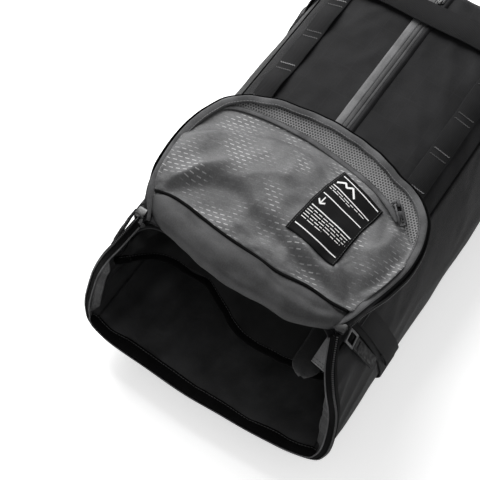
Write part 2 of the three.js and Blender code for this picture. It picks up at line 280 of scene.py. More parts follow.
def web(name, path, across, width, thick, body, *nodes):
    """A flat strap of webbing along a path, on its body."""
    return own(loft(name, path, across, tape_section(width, thick), mat_webbing), body, "webbing", *nodes)


# ---- materials ---------------------------------------------------------------------------------------------
WAVE_SCALE = 0.3142  # a wave texture at this scale has ribs 1 apart


class Shader:
    """A material with a short way to add and join its nodes."""

    def __init__(self, name, color, roughness, metallic=0.0):
        self.material = bpy.data.materials.new(name)
        self.material.use_nodes = True
        self.tree = self.material.node_tree
        self.bsdf = self.tree.nodes["Principled BSDF"]
        self.set("Base Color", (*color, 1))
        self.set("Roughness", roughness)
        self.set("Metallic", metallic)

    def put(self, socket, value):
        """Joins a node's output to the socket, or sets the socket's own value."""
        if isinstance(value, bpy.types.NodeSocket):
            self.tree.links.new(value, socket)
        else:
            socket.default_value = value

    def set(self, socket, value):
        self.put(self.bsdf.inputs[socket], value)

    def done(self, color, normal, specular=0.5):
        self.set("Base Color", color)
        self.set("Normal", normal)
        self.set("Specular IOR Level", specular)
        return self.material

    def node(self, kind, inputs=None, output=0, **settings):
        made = self.tree.nodes.new("ShaderNode" + kind)
        for key, value in settings.items():
            setattr(made, key, value)
        for key, value in (inputs or {}).items():
            self.put(made.inputs[key], value)
        return made.outputs[output]

    def math(self, operation, a, b=0.0, c=0.0):
        return self.node("Math", {0: a, 1: b, 2: c}, operation=operation)

    def coords(self, source="UV", turn=0.0):
        """Place on the surface in millimetres."""
        where = self.node("TexCoord", output=source)
        return self.node("Mapping", {"Vector": where, "Rotation": (0, 0, turn), "Scale": (1 / MM,) * 3})

    def part(self, where, axis):
        return self.node("SeparateXYZ", {"Vector": where}, axis)

    def noise(self, where, size, detail=3.0, roughness=0.55, distortion=0.0):
        return self.node("TexNoise", {"Vector": where, "Scale": 1 / size, "Detail": detail,
                                      "Roughness": roughness, "Distortion": distortion})

    def ramp(self, value, low, high, to_low=0.0, to_high=1.0):
        limits = {"Value": value, "From Min": low, "From Max": high, "To Min": to_low, "To Max": to_high}
        return self.node("MapRange", limits, interpolation_type="SMOOTHSTEP")

    def waves(self, where, pitch, direction="X"):
        """Rounded ribs across a direction, from 0 to 1."""
        inputs = {"Vector": where, "Scale": WAVE_SCALE / pitch, "Distortion": 0.0}
        return self.node("TexWave", inputs, output=1, bands_direction=direction)

    def mix(self, factor, a, b):
        made = self.tree.nodes.new("ShaderNodeMix")
        made.data_type = "RGBA"
        for key, value in ((0, factor), (6, a), (7, b)):
            self.put(made.inputs[key], (*value, 1) if isinstance(value, tuple) else value)
        return made.outputs[2]

    def bump(self, height, distance, below=None):
        inputs = {"Height": height, "Distance": distance * MM, "Strength": 1.0}
        if below is not None:
            inputs["Normal"] = below
        return self.node("Bump", inputs)


def shade(color, factor):
    return tuple(min(1.0, c * factor) for c in color)


def fabric(name, color, roughness=0.6, source="UV", weave=0.7, weave_depth=0.12, crease=0.0, mottle=0.25,
           sheen=0.1, ripstop=0.0, dashes=False, specular=0.5):
    """Woven cloth: fine over-and-under weave, soft creases, uneven colour and, if asked, a ripstop grid."""
    s = Shader(name, color, roughness)
    where = s.coords(source)
    warp, weft = s.waves(where, weave, "X"), s.waves(where, weave, "Y")
    thread = s.math("MULTIPLY", warp, weft)
    cloudy = s.noise(where, 45, 4)
    fine = s.noise(where, 1.6, 2)
    tone = s.math("ADD", s.ramp(cloudy, 0.3, 0.7, -mottle, mottle), s.ramp(fine, 0.3, 0.7, -0.1, 0.1))
    # Darker in the weave's hollows and paler on the thread tops: painted shade and painted highlight at the
    # weave's scale.
    tone = s.math("ADD", tone, s.ramp(thread, 0, 1, -0.1, 0.08))
    factor = s.ramp(tone, -0.6, 0.6)
    out = s.mix(factor, shade(color, 0.55), shade(color, 1.5))
    height = thread
    if ripstop:
        cells = [s.math("PINGPONG", part, ripstop / 2) for part in (s.part(where, 0), s.part(where, 1))]
        line = s.math("MAXIMUM", *[s.ramp(c, 0.6, 0.0) for c in cells])
        out = s.mix(s.math("MULTIPLY", line, 0.3), out, shade(color, 2.0))
        height = s.math("MULTIPLY_ADD", line, 0.6, thread)
    if dashes:
        x, y = s.part(where, 0), s.part(where, 1)
        row_pitch, dash_pitch = 4.8, 8.0
        row = s.math("FLOOR", s.math("DIVIDE", y, row_pitch))
        stagger = s.math("MULTIPLY", s.math("FLOORED_MODULO", row, 2.0), dash_pitch / 2)
        in_x = s.math("FLOORED_MODULO", s.math("ADD", x, stagger), dash_pitch)
        in_y = s.math("FLOORED_MODULO", y, row_pitch)
        along = s.ramp(s.math("ABSOLUTE", s.math("SUBTRACT", in_x, dash_pitch / 2)), 2.6, 2.1)
        across = s.ramp(s.math("ABSOLUTE", s.math("SUBTRACT", in_y, row_pitch / 2)), 0.6, 0.3)
        dash = s.math("MULTIPLY", along, across)
        # The printed dashes are real; this noise mask brightens them only in patches, as painted glint where
        # they catch the light.
        dash_glint = s.ramp(s.noise(where, 42, 2), 0.46, 0.64)
        seen = s.math("MULTIPLY", dash, s.math("MULTIPLY_ADD", dash_glint, 0.55, 0.03))
        out = s.mix(seen, out, (0.62, 0.62, 0.62))
    normal = s.bump(height, weave_depth)
    if crease:
        folds = s.noise(where, 26, 3, 0.5, 0.6)
        normal = s.bump(folds, crease, below=normal)
    s.set("Sheen Weight", sheen)
    return s.done(out, normal, specular)


def webbing(name, color):
    """Woven strap: fine ribs across and a herringbone, with painted shade in their hollows and painted
    highlight on their crests.
    """
    s = Shader(name, color, 0.78)
    where = s.coords()
    ribs = s.waves(where, 1.6, "Y")
    slant = s.waves(s.coords(turn=0.7), 1.1)
    height = s.math("ADD", s.math("MULTIPLY", ribs, 0.7), s.math("MULTIPLY", slant, 0.5))
    worn = s.noise(where, 18, 3)
    # The ribs' and herringbone's crests are painted paler and their hollows darker: painted highlight and
    # painted shade.
    out = s.mix(s.ramp(height, 0.1, 1.1), shade(color, 0.45), shade(color, 1.6))
    out = s.mix(s.ramp(worn, 0.35, 0.75, 0, 0.25), out, shade(color, 1.8))
    return s.done(out, s.bump(height, 0.35), 0.1)


def knit(name, color, hole, size, source="UV"):
    """Knitted mesh: rounded holes in offset rows, dark inside and pale along the threads."""
    s = Shader(name, color, 0.8)
    where = s.coords(source)
    x, y = (s.math("MULTIPLY", s.part(where, k), 2 * math.pi / size) for k in (0, 1))
    waves = s.math("COSINE", y)
    for half in (0.5, -0.5):
        slanted = s.math("MULTIPLY_ADD", x, 0.866, s.math("MULTIPLY", y, half))
        waves = s.math("ADD", waves, s.math("COSINE", slanted))
    thread = s.ramp(waves, 0.9, -0.3)
    out = s.mix(thread, hole, color)
    out = s.mix(s.ramp(s.noise(where, 20, 3), 0.35, 0.7, 0, 0.35), out, shade(color, 0.6))
    return s.done(out, s.bump(thread, 0.6))


def moulded(name, color, roughness=0.4, metallic=0.0, grain=0.15, wear=0.2, specular=0.5):
    """Plastic or metal: fine grain, handling marks and slightly paler, rubbed patches."""
    s = Shader(name, color, roughness, metallic)
    where = s.coords("Object")
    speck = s.noise(where, 0.7, 2)
    rubbed = s.ramp(s.noise(where, 7, 4, 0.7), 0.5, 0.72)
    out = s.mix(s.math("MULTIPLY", rubbed, wear), color, shade(color, 2.0))
    s.set("Roughness", s.ramp(s.noise(where, 3.5, 3), 0.3, 0.7, roughness * 0.75, min(1, roughness * 1.3)))
    return s.done(out, s.bump(speck, grain), specular)


BLACK = (0.0118, 0.0118, 0.0125)
mat_shell = fabric("shell_cloth", BLACK, 0.6, crease=0.5, ripstop=36, weave=0.8, mottle=0.2, sheen=0,
                   specular=0.08)
mat_end = fabric("end_cloth", BLACK, 0.6, crease=0.5, weave=0.8, mottle=0.2, sheen=0, specular=0.08)
mat_lining = fabric("lining_cloth", (0.022, 0.022, 0.023), 0.5, crease=1.0, weave=0.6, mottle=0.3, sheen=0,
                    specular=0.3)
# The hinge band is the pocket's grey cloth without dashes, painted at half its colour as painted shade for
# the shadow that it lies in.
mat_band_shaded = fabric("hinge_cloth_shaded", (0.05, 0.05, 0.051), 0.55, crease=0.8, weave=0.7, mottle=0.25, sheen=0,
                  specular=0.15)
mat_pocket = fabric("pocket_cloth", (0.103, 0.103, 0.105), 0.45, crease=1.5, weave=0.7, mottle=0.2, sheen=0,
                    dashes=True,
                    specular=0.25)
mat_divider = fabric("divider_cloth", (0.014, 0.014, 0.0145), 0.6, crease=0.8, weave=0.8, sheen=0)
mat_binding = fabric("binding_cloth", (0.085, 0.085, 0.087), 0.75, weave=1.3, weave_depth=0.35, mottle=0.4,
                     sheen=0,
                     specular=0.15)
mat_facing = fabric("facing_cloth", (0.042, 0.042, 0.043), 0.5, weave=1.2, weave_depth=0.3, mottle=0.3,
                    sheen=0,
                    specular=0.2)
mat_tab = fabric("tab_cloth", (0.17, 0.17, 0.173), 0.7, weave=1.2, weave_depth=0.35, mottle=0.3, sheen=0)
mat_mesh = knit("flap_knit", (0.2, 0.2, 0.202), (0.012, 0.012, 0.0122), 2.7)
mat_air = knit("back_knit", (0.04, 0.04, 0.042), (0.006, 0.006, 0.006), 4.2, "Object")
mat_pad = fabric("pad_cloth", (0.028, 0.028, 0.03), 0.75, "Object", weave=1.0, weave_depth=0.2)
mat_webbing = webbing("strap_weave", (0.011, 0.011, 0.0115))
mat_tape = fabric("zip_tape_cloth", (0.003, 0.003, 0.0032), 0.8, weave=0.9, weave_depth=0.25, sheen=0,
                  specular=0.06)
mat_cover = fabric("coil_cover", (0.032, 0.032, 0.033), 0.5, weave=0.6, weave_depth=0.05, mottle=0.3,
                   specular=0.12)
mat_speck = fabric("sleeve_cloth", (0.034, 0.034, 0.035), 0.6, weave=0.8, mottle=0.3, crease=0.6,
                   specular=0.2)
mat_coated = fabric("coated_tape", (0.085, 0.085, 0.087), 0.5, weave=0.6, weave_depth=0.05, mottle=0.3,
                    specular=0.25)
# The teeth are paler than the black zip tape: painted highlight on black teeth.
mat_teeth_highlit = moulded("zip_teeth_highlit", (0.045, 0.045, 0.046), 0.5)
mat_slider = moulded("zip_slider_paint", (0.006, 0.006, 0.0063), 0.35, grain=0.03)
mat_metal = moulded("zip_metal", (0.035, 0.035, 0.036), 0.42, 1.0, 0.08, 0.3)
mat_plastic = moulded("buckle_plastic", (0.014, 0.014, 0.015), 0.42)
mat_rubber = moulded("pull_rubber", (0.012, 0.012, 0.0125), 0.7, grain=0.06, specular=0.15)
mat_sheet = moulded("frame_plastic", (0.05, 0.05, 0.052), 0.5)
mat_alloy = moulded("stay_alloy", (0.6, 0.61, 0.62), 0.35, 1.0)
mat_thread = fabric("dark_thread", (0.045, 0.045, 0.046), 0.7, "Object", weave=0.4)
mat_pale_thread = fabric("pale_thread", (0.33, 0.33, 0.335), 0.7, "Object", weave=0.4)
mat_tack = fabric("tack_thread", (0.16, 0.16, 0.163), 0.7, "Object", weave=0.4)
mat_label = fabric("label_satin", (0.006, 0.006, 0.0062), 0.65, weave=0.5, weave_depth=0.06, crease=0.5,
                   sheen=0,
                   specular=0.06)
mat_print = fabric("label_ink", (0.8, 0.8, 0.8), 0.6, "Object", weave=0.5, weave_depth=0.05, mottle=0.05)


# ---- camera, floor and light -------------------------------------------------------------------------------
def camera():
    turn, tilt, roll = math.radians(31.314), math.radians(58.951), math.radians(2.156)
    focal_pixels, frame_pixels = 1288.2, 480
    back = Vector((math.sin(turn) * math.cos(tilt), -math.cos(turn) * math.cos(tilt), math.sin(tilt)))
    right = Vector((math.cos(turn), math.sin(turn), 0))
    up = back.cross(right)
    right_rolled = math.cos(roll) * right + math.sin(roll) * up
    up_rolled = -math.sin(roll) * right + math.cos(roll) * up
    data = bpy.data.cameras.new("camera")
    data.sensor_width = 36
    data.lens = 36 * focal_pixels / frame_pixels
    data.clip_end = 20
    obj = new_object("camera", data)
    turned = Matrix((right_rolled, up_rolled, back)).transposed().to_4x4()
    obj.matrix_world = Matrix.Translation(at(335.03, -559.14, 1318.90)) @ turned
    bpy.context.scene.camera = obj


FLOOR_HALF, FLOOR_Z = 6000, -0.3


def studio():
    corners = [(x * FLOOR_HALF, y * FLOOR_HALF, FLOOR_Z) for x, y in ((-1, -1), (1, -1), (1, 1), (-1, 1))]
    floor = finish_mesh("floor", corners, [(0, 1, 2, 3)], None)
    s = Shader("floor_paper", (0.92, 0.92, 0.92), 0.9)
    s.set("Specular IOR Level", 0.1)
    s.set("Emission Color", (1, 1, 1, 1))
    s.set("Emission Strength", 0.5)
    floor.data.materials[0] = s.material
    world = bpy.data.worlds.new("studio")
    world.use_nodes = True
    sky = world.node_tree.nodes["Background"].inputs
    sky[0].default_value, sky[1].default_value = (1, 1, 1, 1), 0.36
    bpy.context.scene.world = world
    for name, where, size, power in (("key", (-1250, 1300, 1500), 1.9, 88),
                                     ("fill", (900, -1100, 1500), 1.6, 5)):
        data = bpy.data.lights.new(name, "AREA")
        data.shape = "DISK"
        data.size = size
        data.energy = power
        obj = new_object(name, data)
        obj.location = at(*where)
        aim = Vector(at(0, 150, 60)) - obj.location
        obj.rotation_euler = aim.to_track_quat("-Z", "Y").to_euler()
    bpy.context.scene.view_settings.view_transform = "Standard"


# ---- shell of the pack -------------------------------------------------------------------------------------
def shell_line(count, inset=0.0):
    """Half of the cross-section from the front zip round to the back seam, with where the rim starts."""
    line = spline([(x, y, z) for (x, z), y in zip(SHELL_HALF, RIM_START)], count)
    return line - outward_of(line) * inset


def outward_of(line, middle=(60, 100)):
    """Directions square to a cross-section, and away from the middle, which is given as x and z."""
    along = tangents(line[:, [0, 2]])
    out = np.stack([-along[:, 1], np.zeros(len(line)), along[:, 0]], 1)
    out[(out[:, [0, 2]] * (line[:, [0, 2]] - np.array(middle))).sum(1) < 0] *= -1
    return out


def seam_column(line):
    return np.argmin(np.abs(np.abs(line[:, 0]) - SIDE_SEAM[0]) + np.abs(line[:, 2] - SIDE_SEAM[1]))


def shell_grid(side):
    """One half of the shell: rows along the pack, with the end rounded over."""
    line = shell_line(84)
    outward = outward_of(line)
    flat_end = END_Y - END_ROUND
    rows = [line + np.array([0, 1, 0]) * (flat_end - line[:, 1:2]) * t for t in np.linspace(0, 1, 96) ** 1.15]
    rows[-1][:, 1] = flat_end
    for a in np.linspace(0, math.pi / 2, ROUND_ROWS + 1)[1:]:
        ring = rows[95] - outward * END_ROUND * (1 - math.cos(a))
        ring[:, 1] = flat_end + END_ROUND * math.sin(a)
        rows.append(ring)
    grid = np.stack(rows)
    grid = grid + outward[None] * wrinkle_depth(grid, line, 2 + side)[..., None]
    grid[..., 0] *= side
    return grid


def wrinkle_depth(grid, line, seed):
    """How far the cloth stands out of the plain shape: soft hollows, slack by the opening, tight at seams."""
    seam = seam_column(line)
    run = run_along(line)
    from_seam = np.abs(run - run[seam])[None]
    from_rim = grid[..., 1] - line[None, :, 1]
    held = smoothstep(0, 14, from_seam) * smoothstep(0, 10, from_rim) * smoothstep(0, 18, run[None])
    held = held * smoothstep(0, 20, run[-1] - run)[None]
    side = smoothstep(-5, 25, run - run[seam])[None]
    slack = 1 + 1.6 * np.exp(-from_rim / 70) * side
    flat = np.stack([np.broadcast_to(run, grid.shape[:2]), grid[..., 1], np.zeros(grid.shape[:2])], 2)
    broad = rough(flat, (95, 130, 1), seed)
    folds = 1 - np.abs(rough(flat + 0.35 * flat[..., [1, 0, 2]], (34, 85, 1), seed + 3))
    small = rough(flat, (17, 38, 1), seed + 7)
    depth = held * (1.3 * broad * (1 + side) + 1.7 * slack * (folds - 0.75) + 0.45 * small)
    depth = np.where(depth < 0, -HOLLOW * (1 - np.exp(np.minimum(depth, 0) / HOLLOW)), depth)
    bulge = side * 3.0 * np.sin(np.pi * smoothstep(run[seam], run[-1], run))[None] * smoothstep(0, 120,
                                                                                                from_rim)
    groove = -1.3 * np.exp(-((from_seam / 1.8) ** 2))
    return depth + bulge + groove


def shell():
    halves = {side: shell_grid(side) for side in (1, -1)}
    for side, word in SIDES:
        grid = halves[side]
        obj = surface("shell_" + word, grid, mat_shell, 1.8, -side)
        own(obj, "pack", "shell_fabric", "front_panel_" + word, "side_panel_" + word)
        path = grid[1:-3, seam_column(grid[40])] + np.array([side * 0.7, 0, 0.9])
        piping = loft("seam_piping_" + word, resample(path, 120), (side, 0, 0), round_section(1.3, 1.0),
                      mat_tape)
        own(piping, "pack", "shell_fabric")
    ring = np.concatenate([halves[1][-1], halves[-1][-1][::-1]])
    middle = np.array([0, END_Y, 105])
    scales = np.array([1, 0.93, 0.8, 0.6, 0.4, 0.2, 0.05, 0.003])
    rings = np.stack([middle + (ring - middle) * s for s in scales])
    rings[..., 1] = END_Y + 5 * (1 - scales[:, None] ** 2) + 1.2 * rough(rings, 60, 4) * (scales[:, None] < 1)
    end = surface("end_panel", rings, mat_end, 1.8, 1, closed=True)
    own(end, "pack", "shell_fabric", "bottom_panel")
    right, left = (halves[side][-1 - ROUND_ROWS:, -1:] for side in (1, -1))
    across = np.linspace(0, 1, 40)[None, :, None]
    foot = right * (1 - across) + left * across
    own(surface("end_panel_foot", foot, mat_end, 1.4, 0), "pack", "shell_fabric")


# ---- pieces carried over from the frame --------------------------------------------------------------------
SLOT_LOOKS = {
    "shell_fabric": mat_shell, "webbing": mat_webbing, "lining": mat_lining, "pocket_fabric": mat_pocket,
    "mesh": mat_mesh, "binding": mat_binding, "label": mat_label, "zip_tape": mat_coated,
    "zip_black": mat_slider,
    "padding": mat_pad, "metal": mat_metal, "plastic": mat_plastic, "rubber": mat_rubber,
    "frame_sheet": mat_sheet, "aluminium": mat_alloy,
}
NODE_SLOT = {part["node"]: part["material_slot"] for part in frame["record"]["subparts"]}
NODE_BODY = {node: body for body, nodes in frame["record"]["behaviour"]["bodies"].items() for node in nodes}


def dress_frame():
    for node, obj in frame["nodes"].items():
        obj.data.materials.clear()
        obj.data.materials.append(SLOT_LOOKS[NODE_SLOT[node]])


def copy_of(node, name, material):
    """A new piece that starts as the CAD node's mesh."""
    obj = new_object(name, frame["nodes"][node].data.copy())
    obj.data.materials.clear()
    obj.data.materials.append(material)
    return obj


def soften(node, width=0.35):
    """A copy of a hard CAD piece with its edges rounded, standing for it."""
    obj = copy_of(node, node + "_moulded", SLOT_LOOKS[NODE_SLOT[node]])
    bm = bmesh.new()
    bm.from_mesh(obj.data)
    bmesh.ops.remove_doubles(bm, verts=bm.verts, dist=1e-6)
    bmesh.ops.dissolve_limit(bm, angle_limit=math.radians(2), verts=bm.verts, edges=bm.edges)
    bm.to_mesh(obj.data)
    bm.free()
    smooth_shade(obj.data)
    bevel = obj.modifiers.new("edges", "BEVEL")
    bevel.width = width * MM
    bevel.segments = 2
    bevel.limit_method = "ANGLE"
    bevel.angle_limit = math.radians(32)
    bevel.harden_normals = True
    return own(obj, NODE_BODY[node], NODE_SLOT[node], node)


def hard_pieces():
    for node in ("front_zip_slider", "front_zip_pull", "pocket_zip_slider", "pocket_zip_pull"):
        soften(node, 0.25)
    for side in ("right", "left"):
        for name in ("flap_zip_slider", "flap_zip_pull_frame", "flap_zip_pull_tab", "strap_ladder_lock"):
            soften(f"{name}_{side}", 0.5 if name == "flap_zip_pull_tab" else 0.35)
    for node in ("front_strap_ladder_lock", "sternum_buckle_socket", "sternum_buckle_prongs",
                 "hip_buckle_socket", "hip_buckle_prongs"):
        soften(node, 0.6)


# ---- top flap ----------------------------------------------------------------------------------------------
FLAP_EDGE = [(-112, -12, 188), (-118, -1, 192), (-125, 12, 196.5), (-131, 29, 201.5), (-135.5, 58, 204.5),
             (-137, 92, 205.5), (-132, 128, 206), (-117, 157, 206.5), (-88, 175, 207), (-42, 185.5, 207),
             (6, 188, 207), (46, 181.5, 206.5), (84, 167, 206), (110, 157, 205.5), (131, 138, 205),
             (141.5, 112, 204.5), (144, 80, 203.5), (138.5, 50, 202.5), (129.5, 22, 199.5), (123, 2, 195),
             (115, -13, 190)]
POCKET_MOUTH = [(-126, 139, 205), (-114, 149, 205.5), (-97, 155, 206), (-72, 159, 207), (-44, 160.5, 208),
                (-15, 160, 208.5), (20, 155, 208), (56, 148, 207), (82, 139.5, 205.5), (102, 128, 204.5),
                (119, 117, 204), (137, 106, 203.5)]
POCKET_CREASE = [(-121, 18, 201), (-104, 21, 203), (-84, 20, 204), (-58, 16, 204), (-30, 12, 204),
                 (10, 9, 203.5),
                 (38, 6, 203.5), (70, 8.5, 203), (98, 7, 200.5), (118, 8, 197)]
# Folds of the pocket cloth: points in plan, height and half width. A negative height is a valley.
POCKET_FOLDS = [
    ([(-118, 20), (-108, 38), (-94, 60), (-72, 82)], 5.0, 6.5),
    ([(-112, 30), (-88, 44), (-62, 56)], -1.6, 7),
    ([(-30, 28), (10, 22), (40, 18)], 2.5, 7),
    ([(20, 36), (50, 24), (84, 14), (114, 5)], -5.0, 4.5),
    ([(30, 46), (60, 33), (90, 22), (114, 12)], 4.0, 6.5),
    ([(82, 40), (98, 24), (113, 8)], 4.5, 4),
    ([(102, 34), (110, 22), (118, 12)], -3.0, 5),
    ([(117, 8), (127, 38), (134, 66), (136, 88)], -4.5, 8),
    ([(-124, 66), (-116, 98), (-102, 128)], 2.0, 12),
    ([(-70, 128), (-40, 136), (-8, 132)], 1.8, 7),
    ([(-40, 150), (0, 138), (30, 118)], -1.6, 6),
    ([(100, 66), (112, 86), (114, 108)], 3.0, 11),
    ([(-56, 66), (-30, 88), (4, 100)], 1.6, 8),
    ([(96, 124), (104, 100), (108, 76)], -2.2, 6),
]
# The cloth stands as a plateau behind this line and slopes from it down to the crease.
PLATEAU_EDGE = [(-140, 24), (-114, 27), (-97, 48), (-76, 66), (-45, 64), (-18, 55), (14, 43), (34, 32),
                (60, 27),
                (150, 24)]


POCKET_FULLNESS = 1.08  # the hood is cut larger than its outline, and gathered to it
ZIP_JOINT = next(j for j in frame["record"]["behaviour"]["joints"] if j["name"] == "pocket_zip_travel")
ZIP_CENTRE_Y = ZIP_JOINT["pos_m"][1] / MM - ORIGIN_Y
PULL_UNDER_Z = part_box("pocket_zip_pull")[0].z / MM


def coons(bottom, top, left, right):
    """A grid that meets four edges. bottom and top run the same way, left and right go from bottom to top."""
    s = np.linspace(0, 1, len(bottom))[None, :, None]
    t = np.linspace(0, 1, len(left))[:, None, None]
    ruled_t = (1 - t) * bottom[None] + t * top[None]
    ruled_s = (1 - s) * left[:, None] + s * right[:, None]
    corners = ((1 - s) * (1 - t) * bottom[0] + s * (1 - t) * bottom[-1]
               + (1 - s) * t * top[0] + s * t * top[-1])
    return ruled_t + ruled_s - corners


def flap_line(count, inset=0.0, drop=0.0):
    line = spline(FLAP_EDGE, count)
    along = tangents(line * [1, 1, 0])
    outward = np.stack([-along[:, 1], along[:, 0], np.zeros(count)], 1)
    return line - outward * inset - np.array([0, 0, drop]), outward


def part_of(line, start, end, count):
    """The stretch of a line between the points nearest to start and end."""
    first, last = (int(np.argmin(np.linalg.norm(line - np.asarray(p), axis=1))) for p in (start, end))
    step = 1 if last >= first else -1
    stretch = line[first:last + step:step] if last + step >= 0 else line[first::step]
    return resample(stretch, count)


def simulated(obj, cloth, frames):
    """Runs a cloth simulation, and gives where the piece's points end, in metres."""
    cloth.point_cache.frame_start, cloth.point_cache.frame_end = 1, frames
    for number in range(1, frames + 1):
        bpy.context.scene.frame_set(number)
    points = points_of(obj.evaluated_get(bpy.context.evaluated_depsgraph_get()).data)
    bpy.context.scene.frame_set(1)
    return points


def capped(move, limit):
    return move * np.minimum(1, limit / np.maximum(np.linalg.norm(move, axis=-1, keepdims=True), 1e-6))


def settled(grid, pinned, slack, frames, gravity, bending, limit, pressure=0.0):
    """Lets cloth with some spare length fall into its own creases, held where pinned is 1."""
    obj = finish_mesh("settling", grid.reshape(-1, 3), quads(*grid.shape[:2]), mat_shell)
    group = obj.vertex_groups.new(name="held")
    group.add([int(i) for i in np.flatnonzero(pinned)], 1.0, "REPLACE")
    cloth = obj.modifiers.new("cloth", "CLOTH")
    settings = cloth.settings
    settings.quality = 6
    settings.mass = 0.02
    settings.tension_stiffness = settings.compression_stiffness = 12
    settings.shear_stiffness = 4
    settings.bending_stiffness = bending
    settings.vertex_group_mass = "held"
    settings.shrink_min = -slack
    settings.effector_weights.gravity = gravity
    settings.use_pressure = pressure != 0
    settings.uniform_pressure_force = pressure
    cloth.collision_settings.use_collision = False
    moved = simulated(obj, cloth, frames) / MM - [0, ORIGIN_Y, 0]
    bpy.data.objects.remove(obj)
    return grid + capped(moved.reshape(grid.shape) - grid, limit)


def cut_area(grid):
    """Flat area of a sheet's pattern in square metres, from its plain shape before any fold or slack."""
    across, along = np.diff(grid, axis=1)[:-1], np.diff(grid, axis=0)[:, :-1]
    return float(np.linalg.norm(np.cross(across, along), axis=2).sum()) * MM**2


def flat_uv(obj, grid):
    """Lays the cloth's pattern straight down on it, so that the print runs true across the flap."""
    turn = math.radians(9)
    lay = np.array([[math.cos(turn), -math.sin(turn)], [math.sin(turn), math.cos(turn)]])
    lay_uv(obj.data, obj.data.uv_layers[0], grid.reshape(-1, 3)[:, :2] @ lay)


def own_flap(obj, slot, *nodes):
    """A flap piece, with its modifiers and place baked into its mesh, standing for those CAD nodes."""
    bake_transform(baked(obj))
    return stand_for(obj, slot, *nodes)


def fold_height(grid, points, height, width):
    """A soft ridge or valley that follows a line seen in plan and dies away at the line's ends."""
    line = spline([(x, y, 0) for x, y in points], 60)[:, :2]
    apart = np.linalg.norm(grid[..., None, :2] - line, axis=-1)
    nearest = apart.argmin(-1)
    share = nearest / (len(line) - 1)
    wander = 1 + 0.35 * rough(grid, (17, 17, 99), 11)
    crest = np.exp(-((np.hypot(apart.min(-1), 1.2) / width) ** 1.25))
    return height * wander * crest * (0.35 + 0.65 * np.sin(np.pi * share) ** 0.5)


def pocket_grid():
    inner, _ = flap_line(400, inset=3.5)
    crease, mouth = spline(POCKET_CREASE, 88), spline(POCKET_MOUTH, 88)
    left = part_of(inner, crease[0], mouth[0], 60)
    right = part_of(inner, crease[-1], mouth[-1], 60)
    left[0], left[-1], right[0], right[-1] = crease[0], mouth[0], crease[-1], mouth[-1]
    grid = coons(crease, mouth, left, right)
    cut = POCKET_FULLNESS * cut_area(grid)
    s = np.linspace(0, 1, 88)[None]
    t = np.linspace(0, 1, 60)[:, None]
    dome = np.sin(np.pi * s) ** 0.7 * np.sin(np.pi * t) ** 0.7
    soft = 1.6 * rough(grid, (58, 50, 99), 5) + 0.8 * rough(grid, (23, 27, 99), 8)
    slanted = grid + 0.6 * grid[..., [1, 0, 2]] * [1, -1, 0]
    soft = soft + 1.5 * (0.35 - np.abs(rough(slanted, (64, 26, 99), 21)))
    soft = soft + 0.9 * (0.35 - np.abs(rough(grid, (21, 34, 99), 4)))
    for points, height, width in POCKET_FOLDS:
        soft = soft + 1.6 * fold_height(grid, points, height, width)
    foot = np.interp(grid[..., 0], *np.array(PLATEAU_EDGE, float).T) + 5 * rough(grid, (30, 60, 99), 13)
    behind = grid[..., 1] - foot
    plateau = 5.5 * smoothstep(-12, 6, behind)
    from_crease = grid[..., 1] - grid[:1, :, 1]
    gather = 1.3 * rough(grid, (5.5, 60, 99), 17) * np.exp(-from_crease / 6) * smoothstep(0, 2.5, from_crease)
    roll = 3.4 * smoothstep(0, 2.2, from_crease) * smoothstep(16, 2.5, from_crease) * np.sin(np.pi * s) ** 0.5
    # The hood bulges behind its middle, and stays low round the pocket's zip end.
    bulge = 8.5 * smoothstep(0, 0.5, t) * smoothstep(1.02, 0.62, t) * np.sin(np.pi * s) ** 0.6
    bulge = (bulge + plateau * smoothstep(1.0, 0.55, t)) * (1 - 0.85 * np.exp(-((np.hypot(
        grid[..., 0] - 96, grid[..., 1] - 130) / 28) ** 2)))
    grid[..., 2] += bulge + (soft + gather) * np.minimum(1, 5 * dome) + roll
    mask = np.ones(grid.shape[:2])
    mask[1:-1, 1:-1] = 0
    grid = settled(grid, mask, slack=0.018, frames=22, pressure=0.6, gravity=0.4, bending=0.25, limit=2.5)
    floor = 200.5
    grid[..., 2] = floor + np.logaddexp(0, (grid[..., 2] - floor) * 1.2) / 1.2
    # The cloth lies low where the zip's slider and pull pass over it.
    reach = np.hypot(grid[..., 0], grid[..., 1] - ZIP_CENTRE_Y)
    level = PULL_UNDER_Z - 1.2 - 2.0 * smoothstep(212, 220, reach)
    grid[..., 2] -= smoothstep(198, 211, reach) * np.maximum(0, grid[..., 2] - level)
    return grid, cut


def tree_of(obj):
    return BVHTree.FromPolygons([tuple(v.co) for v in obj.data.vertices],
                                [tuple(p.vertices) for p in obj.data.polygons])


def on_surface(tree, points, lift):
    """Drops points straight down on to a surface, and lifts them a little off it."""
    out = []
    for p in place(points):
        hit = tree.ray_cast(Vector((p[0], p[1], 1.0)), Vector((0, 0, -1)))[0]
        hit = hit if hit is not None else Vector(p)
        out.append([hit.x / MM, hit.y / MM - ORIGIN_Y, hit.z / MM + lift])
    return np.array(out)


